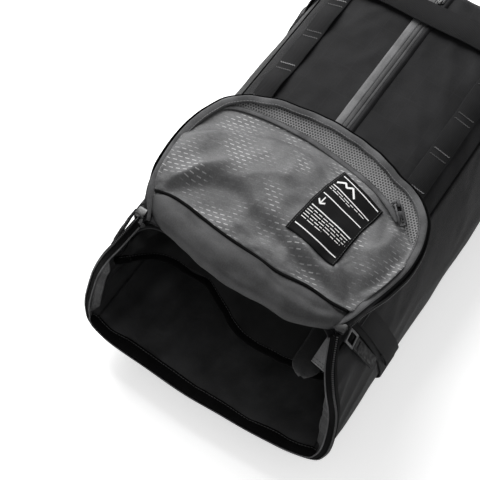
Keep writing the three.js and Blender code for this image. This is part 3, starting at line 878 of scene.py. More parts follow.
def flap():
    count = 180
    edge, outward = flap_line(count)
    wavy = 1.3 * rough(edge, 21, 4) * smoothstep(90, 140, edge[:, 1])
    edge = edge + outward * wavy[:, None]

    binding_path = edge - outward * 2.5 + np.array([0, 0, 1.2])
    lean = -outward + np.array([0, 0, -0.25])
    taper = 0.45 + 0.55 * smoothstep(0, 9, np.minimum(np.arange(count), np.arange(count)[::-1]))
    binding = loft("flap_binding_tape", binding_path, lean, round_section(4.6, 1.6, 12), mat_binding, taper)
    own_flap(binding, "binding", "flap_binding")
    for name, shift in (("inner", 5.6), ("outer", 0.2)):
        sewn = stitches("binding_stitches_" + name, (edge - outward * shift + np.array([0, 0, 2.6]))[7:-7],
                        (0, 0, 1),
                        mat_tack, 3.4)
        own_flap(sewn, "binding")

    # Outer cloth: out under the binding, down the low wall and in under the flap.
    steps = [(-0.5, 0.4), (2.2, -1.5), (3.4, -4.5), (3.0, -8.0), (0.5, -10.6)]
    rings = [edge + outward * o + np.array([0, 0, dz]) for o, dz in steps]
    wall = np.stack(rings)
    wall[..., 2] = np.maximum(wall[..., 2], np.where(wall[..., 1] > 0, FLAP_BASE_Z - 0.2, 183))
    own_flap(surface("flap_side_cloth", wall, mat_end, 1.0, 1), "shell_fabric")
    half = count // 2
    left, right = wall[-1, :half, None], wall[-1, :half - 1:-1, None]
    share = np.linspace(0, 1, 30)[None, :, None]
    under = left * (1 - share) + right * share
    level = np.maximum(FLAP_BASE_Z + 0.4 + 0.6 * rough(under, 45, 6), FLAP_BASE_Z)
    middle = np.sin(np.pi * share[..., 0]) ** 0.25
    under[..., 2] = under[..., 2] * (1 - middle) + level * middle
    own_flap(surface("flap_outer_cloth", under, mat_end, 0.9, 1), "shell_fabric", "flap_shell")

    # The flap's half of the zip hangs under the binding, and shows at the right corner.
    hang = smoothstep(48, 12, edge[:, 1:2])
    zip_line = edge + outward * (4.6 - 3.4 * hang) - np.array([0, 0, 1]) * (4.5 + 3.5 * hang)
    tape = loft("flap_zip_band", zip_line, outward * (0.35 - 0.2 * hang) + np.array([0, 0, 1]),
                tape_section(8, 1.1), mat_tape)
    own_flap(tape, "zip_black", "flap_zip_tape")
    teeth_line = resample(zip_line + outward * 0.6 + np.array([0, 0, -3.6]), int(length_of(zip_line) / 2.1))
    out_line = resample(outward, len(teeth_line))
    teeth = boxes("flap_zip_teeth", teeth_line, tangents(teeth_line), out_line, (1.25, 2.6, 1.5), mat_teeth_highlit)
    own_flap(teeth, "zip_black")

    grid, cut = pocket_grid()
    pocket = surface("pocket_front", grid, mat_pocket, 0.7, -1)
    flat_uv(pocket, grid)
    own_flap(pocket, "pocket_fabric", "flap_pocket")
    tree = tree_of(pocket)
    mouth = grid[-1]
    trim = loft("pocket_mouth_trim", mouth[2:-10] + np.array([0, -1.5, 0.8]), (0, 1, -0.12),
                tape_section(7.0, 1.5), mat_binding)
    own_flap(trim, "binding", "flap_pocket_zip")
    for shift, word in ((-4.2, "low"), (1.3, "high")):
        row = mouth[3:-11] + np.array([0, shift, 1.7 - 0.12 * (shift + 1.5)])
        own_flap(stitches("mouth_stitches_" + word, row, (0, 0, 1), mat_thread, 3.2), "binding")

    inner, _ = flap_line(400, inset=2.5)
    low = mouth.copy()
    low[:, 1] -= 14
    low[:, 2] = 200.2
    far = part_of(inner, mouth[0], mouth[-1], 88)
    t = np.linspace(0, 1, 26)[:, None, None]
    knit_grid = low[None] * (1 - t) + far[None] * t
    sag = np.sin(np.pi * t[..., 0] ** 0.8)
    knit_grid[..., 2] -= 2.2 * sag - 1.5 * sag * rough(knit_grid, (40, 30, 99), 2)
    knit_grid[..., 2] = np.maximum(knit_grid[..., 2], 197.5)
    knitted = surface("flap_knit_panel", knit_grid, mat_mesh, 0.7, -1)
    flat_uv(knitted, knit_grid)
    own_flap(knitted, "mesh", "flap_mesh")
    # A near-black cord along the crease: the seam, and painted shade for the shadowed gap under the pocket's
    # edge.
    seam = loft("crease_seam_shadow_cord", grid[0] + np.array([0, -0.9, -0.6]), (0, 1, 0), round_section(1.8, 0.9),
                mat_tape)
    own_flap(seam, "pocket_fabric")
    crease = stitches("crease_stitches", grid[0, 2:-2] + np.array([0, -3.4, -1.6]), (0, 0, 1), mat_thread,
                      3.6)
    own_flap(crease, "pocket_fabric")
    label(tree)


LABEL_CORNERS = np.array([(19, 47), (83, 35), (90, 124), (32, 143)],
                         float)  # near left and right, far right and left


def label_point(u, v):
    """u from 0 to 1 across, v from 0 at the far end to 1 at the end by the hinge."""
    near_left, near_right, far_right, far_left = LABEL_CORNERS
    u, v = np.asarray(u)[..., None], np.asarray(v)[..., None]
    far = far_left * (1 - u) + far_right * u
    near = near_left * (1 - u) + near_right * u
    flat = far * (1 - v) + near * v
    return np.concatenate([flat, np.zeros(flat.shape[:-1] + (1,))], -1)


def label(tree):
    u, v = np.meshgrid(np.linspace(0, 1, 25), np.linspace(0, 1, 37))
    grid = on_surface(tree, label_point(u, v).reshape(-1, 3), 0.9).reshape(37, 25, 3)
    for _ in range(3):
        grid[1:-1, 1:-1, 2] = (grid[:-2, 1:-1, 2] + grid[2:, 1:-1, 2] + grid[1:-1, :-2, 2] + grid[1:-1, 2:,
                                                                                                  2]) / 4
    grid[..., 2] += 0.3
    patch = surface("care_label", grid, mat_label, 0.7, 1)
    own_flap(patch, "label", "flap_label")
    top = tree_of(patch)
    # Rules across the whole width, and rows of short dashes where the real one has words.
    margin = 0.07
    strips = [(row, margin, 1 - margin, 0.013) for row in (0.05, 0.245, 0.415, 0.615, 0.895)]
    rng = np.random.default_rng(7)
    for row, end in ((0.285, 0.85), (0.315, 0.55), (0.655, 0.93), (0.69, 0.9), (0.725, 0.93), (0.76, 0.86),
                     (0.795, 0.5)):
        start = margin
        while start < end:
            run = float(rng.uniform(0.05, 0.15))
            strips.append((row, start, min(start + run, end), 0.0085))
            start += run + 0.025
    verts, faces = [], []

    def ink(a, b, width):
        a, b = np.asarray(a, float), np.asarray(b, float)
        side = unit(np.array([-(b - a)[1], (b - a)[0]])) * width / 2
        n = max(2, int(np.linalg.norm(b - a) / 0.05))
        for i in range(n + 1):
            p = a + (b - a) * i / n
            verts.extend([p - side, p + side])
        first = len(verts) - 2 * (n + 1)
        faces.extend([(first + 2 * i, first + 2 * i + 2, first + 2 * i + 3,
                       first + 2 * i + 1) for i in range(n)])

    for row, start, end, width in strips:
        ink((start, row), (end, row), width)
    peak = [(0.08, 0.19), (0.2, 0.11), (0.27, 0.155), (0.35, 0.09), (0.5, 0.19)]
    for a, b in zip(peak, peak[1:]):
        ink(a, b, 0.03)
    for a, b in (((0.16, 0.45), (0.16, 0.545)), ((0.09, 0.51), (0.16, 0.55)), ((0.23, 0.51), (0.16, 0.55))):
        ink(a, b, 0.022)
    flat = np.array(verts)
    points = on_surface(top, label_point(flat[:, 0], flat[:, 1]), 0.22)
    own_flap(finish_mesh("label_print", points, faces, mat_print), "label")
    for name, u0 in (("left", 0.03), ("right", 0.97)):
        line = on_surface(top, label_point(np.full(40, u0), np.linspace(0.02, 0.98, 40)), 0.25)
        own_flap(stitches("label_stitches_" + name, line, (0, 0, 1), mat_thread, 2.8, (1.8, 0.4, 0.3)),
                 "label")


# ---- hinge band --------------------------------------------------------------------------------------------
BAND_EDGE = [(-114, 1, 194), (-98, -8, 198), (-72, -14, 200), (-38, -21, 200.5), (3, -26, 200.5),
             (40, -25, 200),
             (78, -24, 198.5), (104, -14, 196), (118, -4, 193)]


def hinge_band():
    """The flap's lining rolls over the front edge and turns down into the pack."""
    crease = spline(POCKET_CREASE, 110)
    t = np.linspace(0, 1, 110)
    low = spline(BAND_EDGE, 110)
    middle = np.sin(np.pi * t)[:, None] ** 0.6
    puff = np.array([0, 0, 1])
    grid = []
    for share in np.linspace(0, 1, 16):
        row = crease * (1 - share) + low * share
        lift = 4.2 * np.sin(np.pi * share) ** 0.8 * (0.35 + 0.65 * middle) - 3.2 * (1 - share) ** 5
        grid.append(row + puff * lift)
    roll = spline([(0, 0, 0), (-2.5, -4, 0), (-3.5, -10, 0), (-2, -16, 0), (3, -22, 0), (10, -26, 0)], 14)
    for dy, dz, _ in roll[1:]:
        row = low.copy()
        row[:, 1] += dy * (0.5 + 0.5 * middle[:, 0])
        row[:, 2] += dz * (0.55 + 0.45 * middle[:, 0])
        row[:, 0] *= 1 - 0.03 * min(1, -dz / 26)
        grid.append(row)
    grid = np.stack(grid)
    ripple = 1.5 * rough(grid, (44, 26, 30), 9) + 0.8 * rough(grid, (19, 15, 15), 3)
    for points, height, width in (([(-104, 12), (-60, 4), (-20, -2)], -1.8, 6),
                                  ([(30, 0), (80, -8), (106, -2)], -4.2, 6),
                                  ([(50, -14), (90, -14), (112, -4)], 3.0, 5)):
        ripple += fold_height(grid, points, height, width)
    fade = smoothstep(0, 3, np.arange(len(grid)))[:, None]
    normal = grid_normals(grid)
    normal *= np.sign((normal * np.array([0, -1, 0.8])).sum(-1, keepdims=True) + 1e-9)
    grid = grid + normal * (ripple * fade)[..., None]
    band = baked(surface("hinge_band_cloth", grid, mat_band_shaded, 1.0, 1))
    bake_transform(band)
    stand_for(band, "lining", "flap_hinge_panel")


# ---- inside of the pack ------------------------------------------------------------------------------------
INSIDE_END_Y = END_Y - 19
LINING_INSET = 3.6
INNER_BACK_Z = 43


def lining_line(count):
    """Half of the lining's cross-section, from the middle of the front to the middle of the back."""
    line = shell_line(200, LINING_INSET)
    line = line[line[:, 2] > INNER_BACK_Z + 3] + [0, 4, 0]
    start = [(0, line[0, 1], line[0, 2])]
    back = [(138, -80, INNER_BACK_Z), (105, -84, INNER_BACK_Z - 0.4), (60, -86, INNER_BACK_Z - 0.4),
            (0, -88, INNER_BACK_Z - 0.4)]
    return spline(start + [tuple(p) for p in line[::18]] + back, count)


def linings():
    cols, rows = 150, 60
    line = lining_line(cols)
    corner = int(np.argmin(np.abs(line[:, 0] - 112) + np.abs(line[:, 2] - 180)))
    foot = int(np.argmax((line[:, 2] < INNER_BACK_Z + 1) & (line[:, 0] > 60)))
    inward = -outward_of(line, (40, 105))
    run = run_along(line)
    t = np.linspace(0, 1, rows)[:, None] ** 1.3
    for side, word in SIDES:
        grid = line[None] + (np.array([0, 1, 0]) * (INSIDE_END_Y - line[:, 1:2]))[None] * t[..., None]
        wall_cut, front_cut, back_cut = (cut_area(grid[:, part]) for part in (
            slice(corner, foot + 8), slice(0, corner + 3), slice(foot, None)))
        flat = np.stack([np.broadcast_to(run, grid.shape[:2]), grid[..., 1], 0 * grid[..., 1]], 2)
        depth = grid[..., 1] - line[None, :, 1]
        loose = smoothstep(0, 12, depth) * (1.2 + 1.6 * rough(flat, (16, 70, 1), side + 4)
                                            + 1.1 * rough(flat + 0.5 * flat[..., [1, 0, 2]], (30, 24, 1),
                                                          side + 7))
        grid = grid + inward[None] * np.maximum(0, loose)[..., None]
        grid[..., 0] *= side
        wall = surface("lining_" + word, grid[:, corner:foot + 8], mat_lining, 0.8, side)
        own(baked(wall), "pack", "lining", "side_lining_" + word)
        if side == 1:
            front_right, back_right = grid[:, :corner + 3], grid[:, foot:]
        else:
            front_left, back_left = grid[:, :corner + 3], grid[:, foot:]
    front = surface("lining_front", np.concatenate([front_left[:, :0:-1], front_right], 1), mat_lining, 0.8,
                    1)
    own(baked(front), "pack", "lining", "front_lining")
    back = surface("lining_back", np.concatenate([back_left[:, :-1], back_right[:, ::-1]], 1), mat_lining,
                   0.8, 1)
    own(baked(back), "pack", "lining")
    ring = line.copy()
    ring[:, 1] = INSIDE_END_Y
    ring = np.concatenate([ring, (ring * [-1, 1, 1])[-2:0:-1]])
    middle = np.array([0, INSIDE_END_Y, 110])
    rings = np.stack([middle + (ring - middle) * share for share in (1, 0.8, 0.5, 0.25, 0.05, 0.003)])
    end = surface("lining_end", rings, mat_lining, 0.8, 1, closed=True)
    own(baked(end), "pack", "lining")


DIVIDER_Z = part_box("compartment_divider")[0].z / MM
DIVIDER_EDGE = [(-145, -34, 2), (-128, -14, 1), (-95, 4, 3), (-52, 3, 5), (-15, -14, 2), (20, -30, 0),
                (75, -28, 3),
                (101, -30, 1), (122, -20, 4), (145, -32, 2)]


def divider():
    """Black cloth wall between the tool space and the main space, slack along its free edge."""
    edge = spline([(x, y, DIVIDER_Z + lift) for x, y, lift in DIVIDER_EDGE], 120)
    foot = np.stack([np.linspace(-146, 146, 120), np.full(120, 430), np.full(120, DIVIDER_Z + 0.8)], 1)
    t = np.linspace(0, 1, 64)[:, None, None] ** 1.4
    grid = edge[None] * (1 - t) + foot[None] * t
    loose = np.exp(-2.2 * t[..., 0]) * smoothstep(146, 118, np.abs(grid[..., 0]))
    lift = 5.5 * rough(grid, (42, 90, 99), 3) + 2.2 * rough(grid, (17, 46, 99), 6)
    grid[..., 2] += loose * lift
    mask = np.zeros(grid.shape[:2])
    mask[-1] = mask[:, 0] = mask[:, -1] = mask[0, 0] = 1
    grid = settled(grid, mask, slack=0.012, frames=16, gravity=0.3, bending=0.3, limit=6)
    wall = baked(surface("divider_cloth", grid, mat_divider, 0.9, 0))
    own(wall, "pack", "shell_fabric", "compartment_divider")
    hem = loft("divider_hem", grid[0] + np.array([0, 2.5, 0]), (0, 1, 0), tape_section(9, 2.0), mat_tape)
    own(hem, "pack", "shell_fabric")
    sewn = stitches("divider_stitches", grid[0] + np.array([0, 5.8, 1.3]), (0, 0, 1), mat_thread, 3.4)
    own(sewn, "pack", "shell_fabric")
    tongue()


def tongue():
    """Short padded sleeve for the shovel handle, with a rounded free end, sewn to the divider."""
    centre = spline([(94, 30, DIVIDER_Z + 6), (96, -2, DIVIDER_Z + 9), (97, -26, DIVIDER_Z + 12),
                     (99, -40, DIVIDER_Z + 11)], 26)
    share = np.linspace(0, 1, 26)
    half = 15.5 * np.sqrt(np.clip(1 - smoothstep(0.72, 1.02, share) ** 2, 0.02, 1))
    across = np.linspace(-1, 1, 25)
    grid = centre[:, None] + across[None, :, None] * half[:, None, None] * np.array([1, 0.16, 0])
    grid[..., 2] += 3.0 * (1 - across[None] ** 2) + 0.7 * rough(grid, (12, 15, 99), 3)
    sleeve = baked(surface("tool_sleeve", grid, mat_speck, 1.6, 0))
    own(sleeve, "pack", "lining")
    outline = np.concatenate([grid[2:, 1], grid[-1, 1:-1], grid[2:, -2][::-1]]) + np.array([0, 0, 1.1])
    own(stitches("sleeve_stitches", outline, (0, 0, 1), mat_thread, 3.2), "pack", "lining")


def tool_tab():
    """Folded grosgrain tab beside the zip's end, hanging into the opening."""
    path = spline([(118, -3, 169), (116.5, -14, 160), (114.5, -25, 149), (113, -34, 140.5)], 40)
    tab = loft("tool_tab_fold", path, (1, -0.2, 0.1), tape_section(18.5, 1.7), mat_tab)
    own(tab, "pack", "binding", "tool_tab")
    for offset in (2.0, 6.0):
        across = np.outer(np.linspace(-7.5, 7.5, 20), (1, -0.2, 0.1))
        row = path[-1] + np.array([0, offset * 0.72, offset * 0.62]) + across + np.array([0, -0.7, 0.8])
        sewn = stitches(f"tool_tab_stitches_{int(offset)}", row, (0, -0.6, 0.8), mat_thread, 3)
        own(sewn, "pack", "binding")


# ---- zip round the opening ---------------------------------------------------------------------------------
RIM_HALF = [(121, -17, 188), (130.5, -38.5, 168.5), (141, -51.5, 147), (151, -57.5, 116), (155, -63.5, 92),
            (157, -72, 66), (154.5, -77, 49), (146, -82, 37.5), (122, -87, 34.8), (90, -90, 34.2),
            (45, -92.5, 34), (0, -93.5, 34)]


def rim():
    left = [(-x, y, z) for x, y, z in RIM_HALF]
    path = spline(left + RIM_HALF[-2::-1], 420)
    path = path + unit(path - [0, 0, 110]) * (0.9 * rough(path, 55, 3))[:, None]
    along = tangents(path)
    outward = path * [1, 0, 1] - [0, 0, 105]
    outward -= along * (outward * along).sum(1, keepdims=True)
    outward = unit(outward * [1, 0, 1])
    open_way = unit(np.array([0, -0.45, 0]) - outward)
    tape = loft("rim_zip_band", path + open_way * 2.6, open_way, tape_section(10, 1.4), mat_tape)
    own(tape, "pack", "zip_black", "rim_zip_tape")
    seam = path + np.array([0, 3.4, 0]) - outward * 0.5
    own(loft("rim_seam_binding", seam, (0, 1, 0), tape_section(10, 1.6), mat_tape), "pack", "zip_black")
    count = int(length_of(path) / 2.2)
    teeth_at = resample(path - open_way * 0.8 + np.array([0, -1.3, 0]), count)
    open_teeth = resample(open_way, count)
    own(boxes("rim_zip_teeth", teeth_at, tangents(teeth_at), open_teeth, (1.0, 2.1, 1.3), mat_teeth_highlit), "pack",
        "zip_black")
    hem = path + open_way * 7.8 + np.array([0, -0.5, 0])
    own(loft("rim_hem", hem, open_way, round_section(0.9, 0.8), mat_binding), "pack", "zip_black")
    # The facing: a loose fold of grosgrain just inside the zip, on both sides of the opening.
    low = smoothstep(66, 42, path[:, 2:])
    lip = unit(-outward * (1 - 0.8 * low) + np.array([0, 0.35, 0]) * (1 + 2 * low))
    ripple = (1.6 * rough(path, (40, 22, 22), 12) + 0.8 * rough(path, 9, 5))[:, None]
    facing = path + open_way * 7.2 + lip * 4.8 + np.array([0, 1.6, 0]) + np.cross(along, lip) * ripple
    facing = facing + low * np.array([0, 0, 2.6])
    width = 1 + 0.22 * rough(path, (34, 30, 30), 15)
    for name, seen, look in (("left", (path[:, 0] < -130) & (path[:, 2] < 150) & (path[:, 2] > 44),
                              mat_lining),
                             ("low", (path[:, 2] < 52), mat_tape),
                             ("right", (path[:, 0] > 130) & (path[:, 2] < 146) & (path[:, 2] > 41),
                              mat_facing)):
        where = np.flatnonzero(seen)
        part = slice(where[0], where[-1] + 1)
        number = np.arange(where[-1] + 1 - where[0])
        fade = 0.25 + 0.75 * smoothstep(0, 16, np.minimum(number, number[::-1]))
        inner = facing[part] - lip[part] * (6 * (1 - fade[:, None] * width[part][:, None]))
        own(loft("rim_facing_" + name, inner, lip[part], tape_section(12, 1.3), look, fade * width[part]),
            "pack", "binding")
        row, across = (inner + lip[part] * (4.2 * fade * width[part])[:, None])[6:-6], lip[part][6:-6]
        face = unit(np.cross(tangents(row), across))
        face *= np.sign((face * (-outward[part][6:-6] + [0, -1, 0])).sum(1, keepdims=True))
        own(stitches(f"facing_{name}_stitches", row + face * 0.8, face, mat_thread, 3.4), "pack", "binding")


# ---- zip and straps on the outside -------------------------------------------------------------------------
FRONT_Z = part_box("front_panel_right")[1].z / MM


def front_zip():
    """Centre zip: a pale coated strip, the hidden coil and the folded edge of the cloth over it."""
    rows = np.linspace(150, END_Y, 90)
    for name, material, slot, nodes, profile in (
            ("zip_pale_strip", mat_coated, "zip_tape", ["front_zip_tape"],
             [(-14.4, -1.4), (-13.6, -0.2), (-10, 0.1), (-6.4, 0), (-5.4, -1.2)]),
            ("zip_coil_cover", mat_cover, "zip_tape", [],
             [(-5.2, -1.2), (-4.2, -0.1), (-2, 0.2), (-0.4, -0.1), (0.2, -1.3)]),
            ("zip_inner_cover", mat_cover, "zip_tape", [],
             [(0.4, -1.2), (1.1, -0.2), (2.6, 0), (3.6, -0.3), (4, -1.2)]),
            ("zip_folded_edge", mat_shell, "shell_fabric", [],
             [(4.2, -1), (4.8, 0.5), (6.4, 0.9), (8.2, 0.3), (10, -1.4)])):
        section = spline([(x, 0, FRONT_Z + 0.9 + z) for x, z in profile], 5 * len(profile))
        grid = np.stack([section + [0, y, 0] for y in rows])
        past = np.clip((grid[..., 1] - END_Y) / END_ROUND + 1, 0, 1)
        grid[..., 2] += 0.25 * rough(grid, (5, 30, 99), 4) - END_ROUND * (1 - np.sqrt(1 - past**2))
        own(baked(surface(name, grid, material, 0.8, 1)), "pack", slot, *nodes)
    for x, word in ((-14.9, "left"), (9.6, "right")):
        row = [(x, y, FRONT_Z + 0.5) for y in rows[:-5]]
        own(stitches("zip_stitches_" + word, row, (0, 0, 1), mat_tape, 3.4), "pack", "shell_fabric")


def ladder(side, word, first_tack):
    """25 mm webbing down the front, sewn down at even steps, with a slack loop between tacks."""
    centre_x, slope, pitch = 100.4, -0.31, 56
    y = np.arange(6, END_Y - 8, 1.5)
    phase = (y - first_tack) / pitch
    loops = np.sin(np.pi * phase) ** 2
    loops *= 2.3 + 0.9 * np.sin(3.1 * np.floor(phase) + side)
    x = side * (centre_x + 0.9 * rough(np.stack([y, 0 * y, 0 * y], 1), 60, side + 2))
    z = 186.2 + loops - 7 * smoothstep(END_Y - 24, END_Y, y) ** 2
    path = np.stack([x, y, z], 1)
    web("ladder_strap_" + word, path, (side, 0, slope), 25, 1.7, "pack", "ladder_webbing_" + word)
    tacks = []
    for k in range(-3, 5):
        for offset in (-4.5, 4.5):
            where = first_tack + k * pitch + offset
            if 20 < where < END_Y - 30:
                tacks.append((where, offset))
    across = unit(np.array([side, 0, slope]))
    up = np.array([side * 0.3, 0, 0.954])
    for number, (where, offset) in enumerate(tacks):
        base = np.array([np.interp(where, y, x), where, np.interp(where, y, z)])
        row = base + np.outer(np.linspace(-9.5, 9.5, 24), across) + up * 1.1
        row[:, 1] += 0.5 * np.where(np.arange(24) % 2, 1, -1)
        look = mat_tack if offset > 0 and number % 3 else mat_thread
        own(stitches(f"tack_{word}_{number}", row, up, look, 1.5, (1.5, 0.7, 0.4)), "pack", "webbing")


def front_strap():
    """Wide strap across the front and down both sides."""
    half = [(0, 196.6), (50, 196.0), (88, 193.2), (112, 186), (130, 172.8), (147, 139), (156.4, 106)]
    line = [(-x, 0, z) for x, z in half[:0:-1]] + [(x, 0, z) for x, z in half]
    path = spline(line, 150)
    path[:, 1] = 392.5 + 1.2 * rough(path, 50, 4)
    path[:, 2] += 0.9 * rough(path + [0, 40, 0], 45, 6)
    web("front_strap_web", path, (0, 1, 0), 33, 1.7, "pack", "front_strap")
    for side, letter in ((-1, "l"), (1, "r")):
        near = path[np.argmin(np.abs(path[:, 0] - side * 99))]
        across = np.outer(np.linspace(-9, 9, 14), unit(np.array([1, 0, -0.3 * side])))
        for shift, end in ((-13, "a"), (13, "b")):
            row = near + across + [0, shift, 1.3]
            sewn = stitches(f"front_strap_stitches_{letter}{end}", row, (0, 0, 1), mat_thread, 2.6)
            own(sewn, "pack", "webbing")
    tail = spline([(156.6, 392.5, 108), (158.6, 392.5, 96), (159.5, 392.5, 86), (158.6, 392.5, 76),
                   (159.4, 392.5, 62),
                   (158.2, 392.5, 48), (156, 392.5, 40)], 60)
    web("front_strap_tail", tail, (0, 1, 0), 26, 1.6, "pack")


def side_strap(side, word):
    """Webbing from under the flap's corner down the side, with a second layer that stands open at its end."""
    line = shell_line(160)
    line = line[(line[:, 0] > 117) & (line[:, 2] > 40)]
    out = outward_of(line)
    line[:, 1] = 35 - 0.22 * (line[:, 2] - 110)
    path = line + out * (2.2 + 2.2 * np.sin(np.pi * np.linspace(0, 1, len(line)) ** 0.8)[:, None])
    flip = np.array([side, 1, 1])
    path, out = resample(path, 90) * flip, resample(out, 90) * flip
    slant = np.array([0, 1, 0])
    web("side_strap_web_" + word, path, slant, 30, 1.7, "pack", "side_strap_" + word)
    # The second layer is folded back on itself: it lies flat at the top and stands open at its end.
    share = np.linspace(0, 1, 58)[:, None]
    over = path[4:62] + out[4:62] * (2.0 + 5.0 * smoothstep(0.45, 1, share) * np.sin(2.5 * share))
    over = over + slant * 3.5
    turned = over[-1] - out[61] * 1.6 + np.array([0, 0, -2.0])
    back = path[59:41:-1] + out[59:41:-1] * 1.9 + slant * 3.5
    layer = spline(np.vstack([over[::7], [turned], back[::5]]), 70)
    web("side_strap_layer_" + word, layer, slant, 25, 1.5, "pack")
    for number, index in enumerate((2, 5)):
        row = over[index] + np.outer(np.linspace(-10, 10, 18), (0, 1, 0)) + out[4 + index] * 1.1
        own(stitches(f"side_strap_stitches_{word}_{number}", row, out[4 + index], mat_thread, 2.4), "pack",
            "webbing")


# ---- pads and harness --------------------------------------------------------------------------------------
def sewn_channel(obj, lines, depth, width):
    """Presses sewn lines into both faces of a pad. Each line is points in plan, in pack numbers."""
    co = points_of(obj.data)
    flat = co[:, :2] / MM - [0, ORIGIN_Y]
    middle = (co[:, 2].min() + co[:, 2].max()) / 2
    press = np.zeros(len(co))
    for points in lines:
        line = resample(np.asarray(points, float), 240)
        apart = np.min(np.linalg.norm(flat[:, None] - line[None], axis=2), axis=1)
        press = np.maximum(press, np.exp(-((apart / width) ** 2)))
    co[:, 2] -= np.clip(co[:, 2] - middle, -depth * MM, depth * MM) * press
    obj.data.vertices.foreach_set("co", co.ravel())


def pad(node, name, body, material, cap, high, channels, voxel=4.0, low=0.3):
    """Foam or stuffed piece: the CAD solid, remeshed, blown up by a cloth simulation and smoothed."""
    obj = copy_of(node, name, material)
    smaller = obj.modifiers.new("smaller", "DISPLACE")
    smaller.strength, smaller.mid_level = -MM, 0
    remesh = obj.modifiers.new("remesh", "REMESH")
    remesh.mode, remesh.voxel_size = "VOXEL", voxel * MM
    relax = obj.modifiers.new("relax", "SMOOTH")
    relax.factor, relax.iterations = 0.5, 4
    baked(obj)
    rest = points_of(obj.data)
    cloth = obj.modifiers.new("cloth", "CLOTH")
    settings = cloth.settings
    settings.use_pressure = True
    settings.uniform_pressure_force = 4
    settings.effector_weights.gravity = 0
    blown = simulated(obj, cloth, 20)
    obj.modifiers.clear()
    rest = rest + capped(blown - rest, cap * MM)
    rest[:, 2] = np.clip(rest[:, 2], low * MM, high * MM)
    obj.data.vertices.foreach_set("co", rest.ravel())
    finer = obj.modifiers.new("finer", "SUBSURF")
    finer.levels = finer.render_levels = 1
    baked(obj)
    sewn_channel(obj, channels, 3.0, 3.4)
    smooth_shade(obj.data)
    own(obj, body, "padding", node)


def edge_piping(name, line, body, size=(1.5, 1.2)):
    """Bound seam round a pad."""
    own(loft(name, line, np.cross(tangents(line), (0, 0, 1)), round_section(*size), mat_tape), body,
        "padding")


def offset_outline(line, half):
    """Outline of a band of that half width round a plan line."""
    along = tangents(line)
    side = np.stack([-along[:, 1], along[:, 0]], 1) * half
    return np.concatenate([line + side, (line - side)[::-1], (line + side)[:1]])


STRAP_LINE = [(61, -4, 0), (66, 50, 0), (80, 120, 0), (94, 190, 0), (102, 250, 0), (104, 300, 0)]
WING_OUTLINE = [(90, 386), (130, 389.5), (176, 398), (192, 405), (197, 420), (199.5, 445), (201, 466),
                (194, 476),
                (184, 478), (150, 474), (106, 468), (92, 460), (89, 440), (89, 410), (90, 386)]


def harness():
    pad("back_panel", "back_pad", "pack", mat_air, cap=3, voxel=6, low=26, high=35.4,
        channels=[[(x, -70), (x, 436)] for x in (-62, 62)] + [[(-132, y), (-66, y)] for y in (60, 210, 330)]
        + [[(66, y), (132, y)] for y in (60, 210, 330)])
    pad("spine_pad", "spine_cushion", "pack", mat_air, cap=3, voxel=4.5, low=0.3, high=30,
        channels=[[(-24, y), (24, y)] for y in (90, 170, 250)])
    pad("lumbar_pad", "lumbar_cushion", "pack", mat_air, cap=3, voxel=4.5, low=0.3, high=30,
        channels=[[(-78, 397), (78, 397)], [(0, 352), (0, 442)]])
    spine = [(-25, 15), (25, 15), (26.5, 170), (25, 327), (-25, 327), (-26.5, 170), (-25, 15)]
    edge_piping("spine_piping", spline([(x, y, 14) for x, y in spine], 16 * len(spine)), "pack")
    middle = spline(STRAP_LINE, 80)[:, :2]
    for side, word in SIDES:
        flip = np.array([side, 1])
        body = "strap_" + word
        lines = [offset_outline(middle[6:-3], 15)[:74] * flip, offset_outline(middle[6:-3], 15)[74:-1] * flip]
        pad("shoulder_strap_" + word, "strap_pad_" + word, body, mat_pad, cap=2.6, voxel=4,
            low=0.3,
            high=13.8, channels=lines)
        outline = offset_outline(middle[1:-1], 27.6) * flip
        path = np.concatenate([outline, np.full((len(outline), 1), 6.9)], 1)
        path = resample(path, 260)
        edge_piping("strap_piping_" + word, path, body, (1.6, 1.3))
        daisy = spline([(x * side, y, 13.9) for x, y in middle[8:-2:6]], 90)
        web("strap_spine_web_" + word, daisy, (1, 0, 0), 18, 1.2, body)
        hip = "hip_" + word
        pad("hip_wing_" + word, "hip_pad_" + word, hip, mat_pad, cap=2.6, voxel=4, low=0.3,
            high=13.6,
            channels=[[(side * x, y) for x, y in ((100, 404), (150, 408), (184, 420), (188, 450))],
                      [(side * x, y) for x, y in ((100, 456), (150, 460), (186, 464))]])
        wing = spline([(x * side, y, 6.9) for x, y in WING_OUTLINE], 16 * len(WING_OUTLINE))
        edge_piping("hip_piping_" + word, wing, hip)
        web_and_tail(side, word, body, hip)
        anchors(side, word)


def anchors(side, word):
    """Webbing that joins a shoulder strap and an end of the haul loop to the back panel."""
    path = spline([(side * 61, 12, 13.6), (side * 61, 0, 14.6), (side * 60, -10, 16.6), (side * 59, -18, 21),
                   (side * 58, -24, 28.4)], 40)
    strap = loft("strap_anchor_" + word, path, (1, 0, 0), tape_section(38, 2.4), mat_webbing)
    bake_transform(strap)
    stand_for(strap, "webbing")
    path = spline([(side * 46, -41.5, 5), (side * 46, -37, 8), (side * 46, -34.5, 14), (side * 46, -34, 21),
                   (side * 46, -36, 28.4)], 30)
    web("haul_anchor_" + word, path, (1, 0, 0), 18, 2.4, "pack")


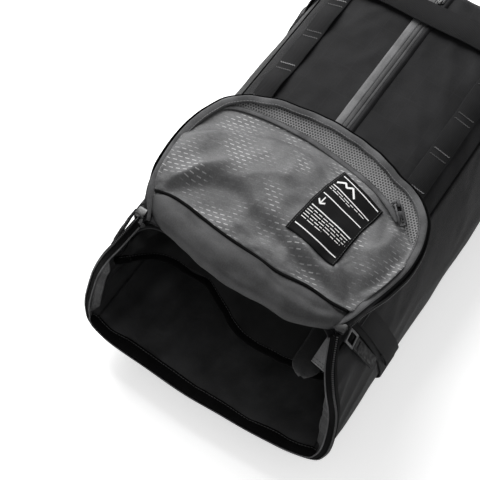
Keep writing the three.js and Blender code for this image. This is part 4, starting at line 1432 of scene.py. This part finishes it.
def web_and_tail(side, word, strap_body, hip_body):
    def flat_web(name, points, width, body, node):
        path = spline([(side * x, y, z) for x, y, z in points], 50)
        across = (1, 0, 0) if abs(path[0, 1] - path[-1, 1]) > abs(path[0, 0] - path[-1, 0]) else (0, 1, 0)
        web(name, path, across, width, 1.7, body, node)

    flat_web("strap_web_" + word, [(104, 312, 8.2), (104, 325, 5.4), (104, 336, 7.6), (104, 356, 17.4),
                                   (104, 374, 26)],
             20, strap_body, "strap_webbing_" + word)
    flat_web("sternum_web_" + word, [(82, 62, 18.4), (82, 80, 17), (82, 96, 15.2), (82, 130, 14.8),
                                     (82, 176, 14.8)], 20,
             "sternum_" + word, "sternum_webbing_" + word)
    flat_web("hip_web_" + word, [(112, 434, 19), (132, 434, 17.6), (146, 434, 15.2), (170, 434, 14.9),
                                 (196, 434, 14.8)], 32,
             hip_body, "hip_webbing_" + word)
    loop = [(side * 82 + x, 92, z) for x, z in ((-11.5, 13.9), (-11.5, 17.4), (11.5, 17.4), (11.5, 13.9))]
    keeper = loft("sternum_keeper_" + word, loop, (0, 1, 0), tape_section(6, 1.2), mat_plastic)
    own(keeper, "sternum_" + word, "plastic")
    hip_row = [(side * 189, 434 + dy, 16) for dy in np.linspace(-13, 13, 14)]
    sternum_row = [(side * 82 + dx, 171, 15.9) for dx in np.linspace(-8, 8, 10)]
    for name, row, pitch, body in (("hip", hip_row, 2.4, hip_body),
                                   ("sternum", sternum_row, 2.2, "sternum_" + word)):
        sewn = stitches(f"{name}_web_stitches_{word}", row, (0, 0, 1), mat_pale_thread, pitch)
        own(sewn, body, "webbing")


def haul_loop():
    path = spline([(-46, -40, 4.2), (-44, -50, 4.6), (-36, -61, 5), (-18, -67, 5), (0, -68.4, 5),
                   (18, -67, 5),
                   (36, -61, 5), (44, -50, 4.6), (46, -40, 4.2)], 120)
    share = np.linspace(0, 1, 120)
    widths = 1 + 0.1 * smoothstep(0.25, 0.35, share) * smoothstep(0.75, 0.65, share)
    side = np.cross(tangents(path), (0, 0, 1))
    web("haul_web", path, side, 16.5, 2.6, "handle", "haul_handle")
    grip = path[30:90]
    own(loft("haul_grip", grip, side[30:90], round_section(9, 3.4, 16), mat_pad, widths[30:90]), "handle",
        "webbing")
    for number, index in enumerate((28, 91)):
        row = path[index] + np.outer(np.linspace(-7, 7, 10), side[index]) + [0, 0, 1.6]
        own(stitches(f"haul_stitches_{number}", row, (0, 0, 1), mat_pale_thread, 2), "handle", "webbing")


camera()
studio()
dress_frame()
shell()
flap()
hinge_band()
linings()
divider()
tool_tab()
rim()
front_zip()
front_strap()
harness()
haul_loop()
for side, word, first_tack in ((1, "right", 231), (-1, "left", 241)):
    ladder(side, word, first_tack)
    side_strap(side, word)
hard_pieces()
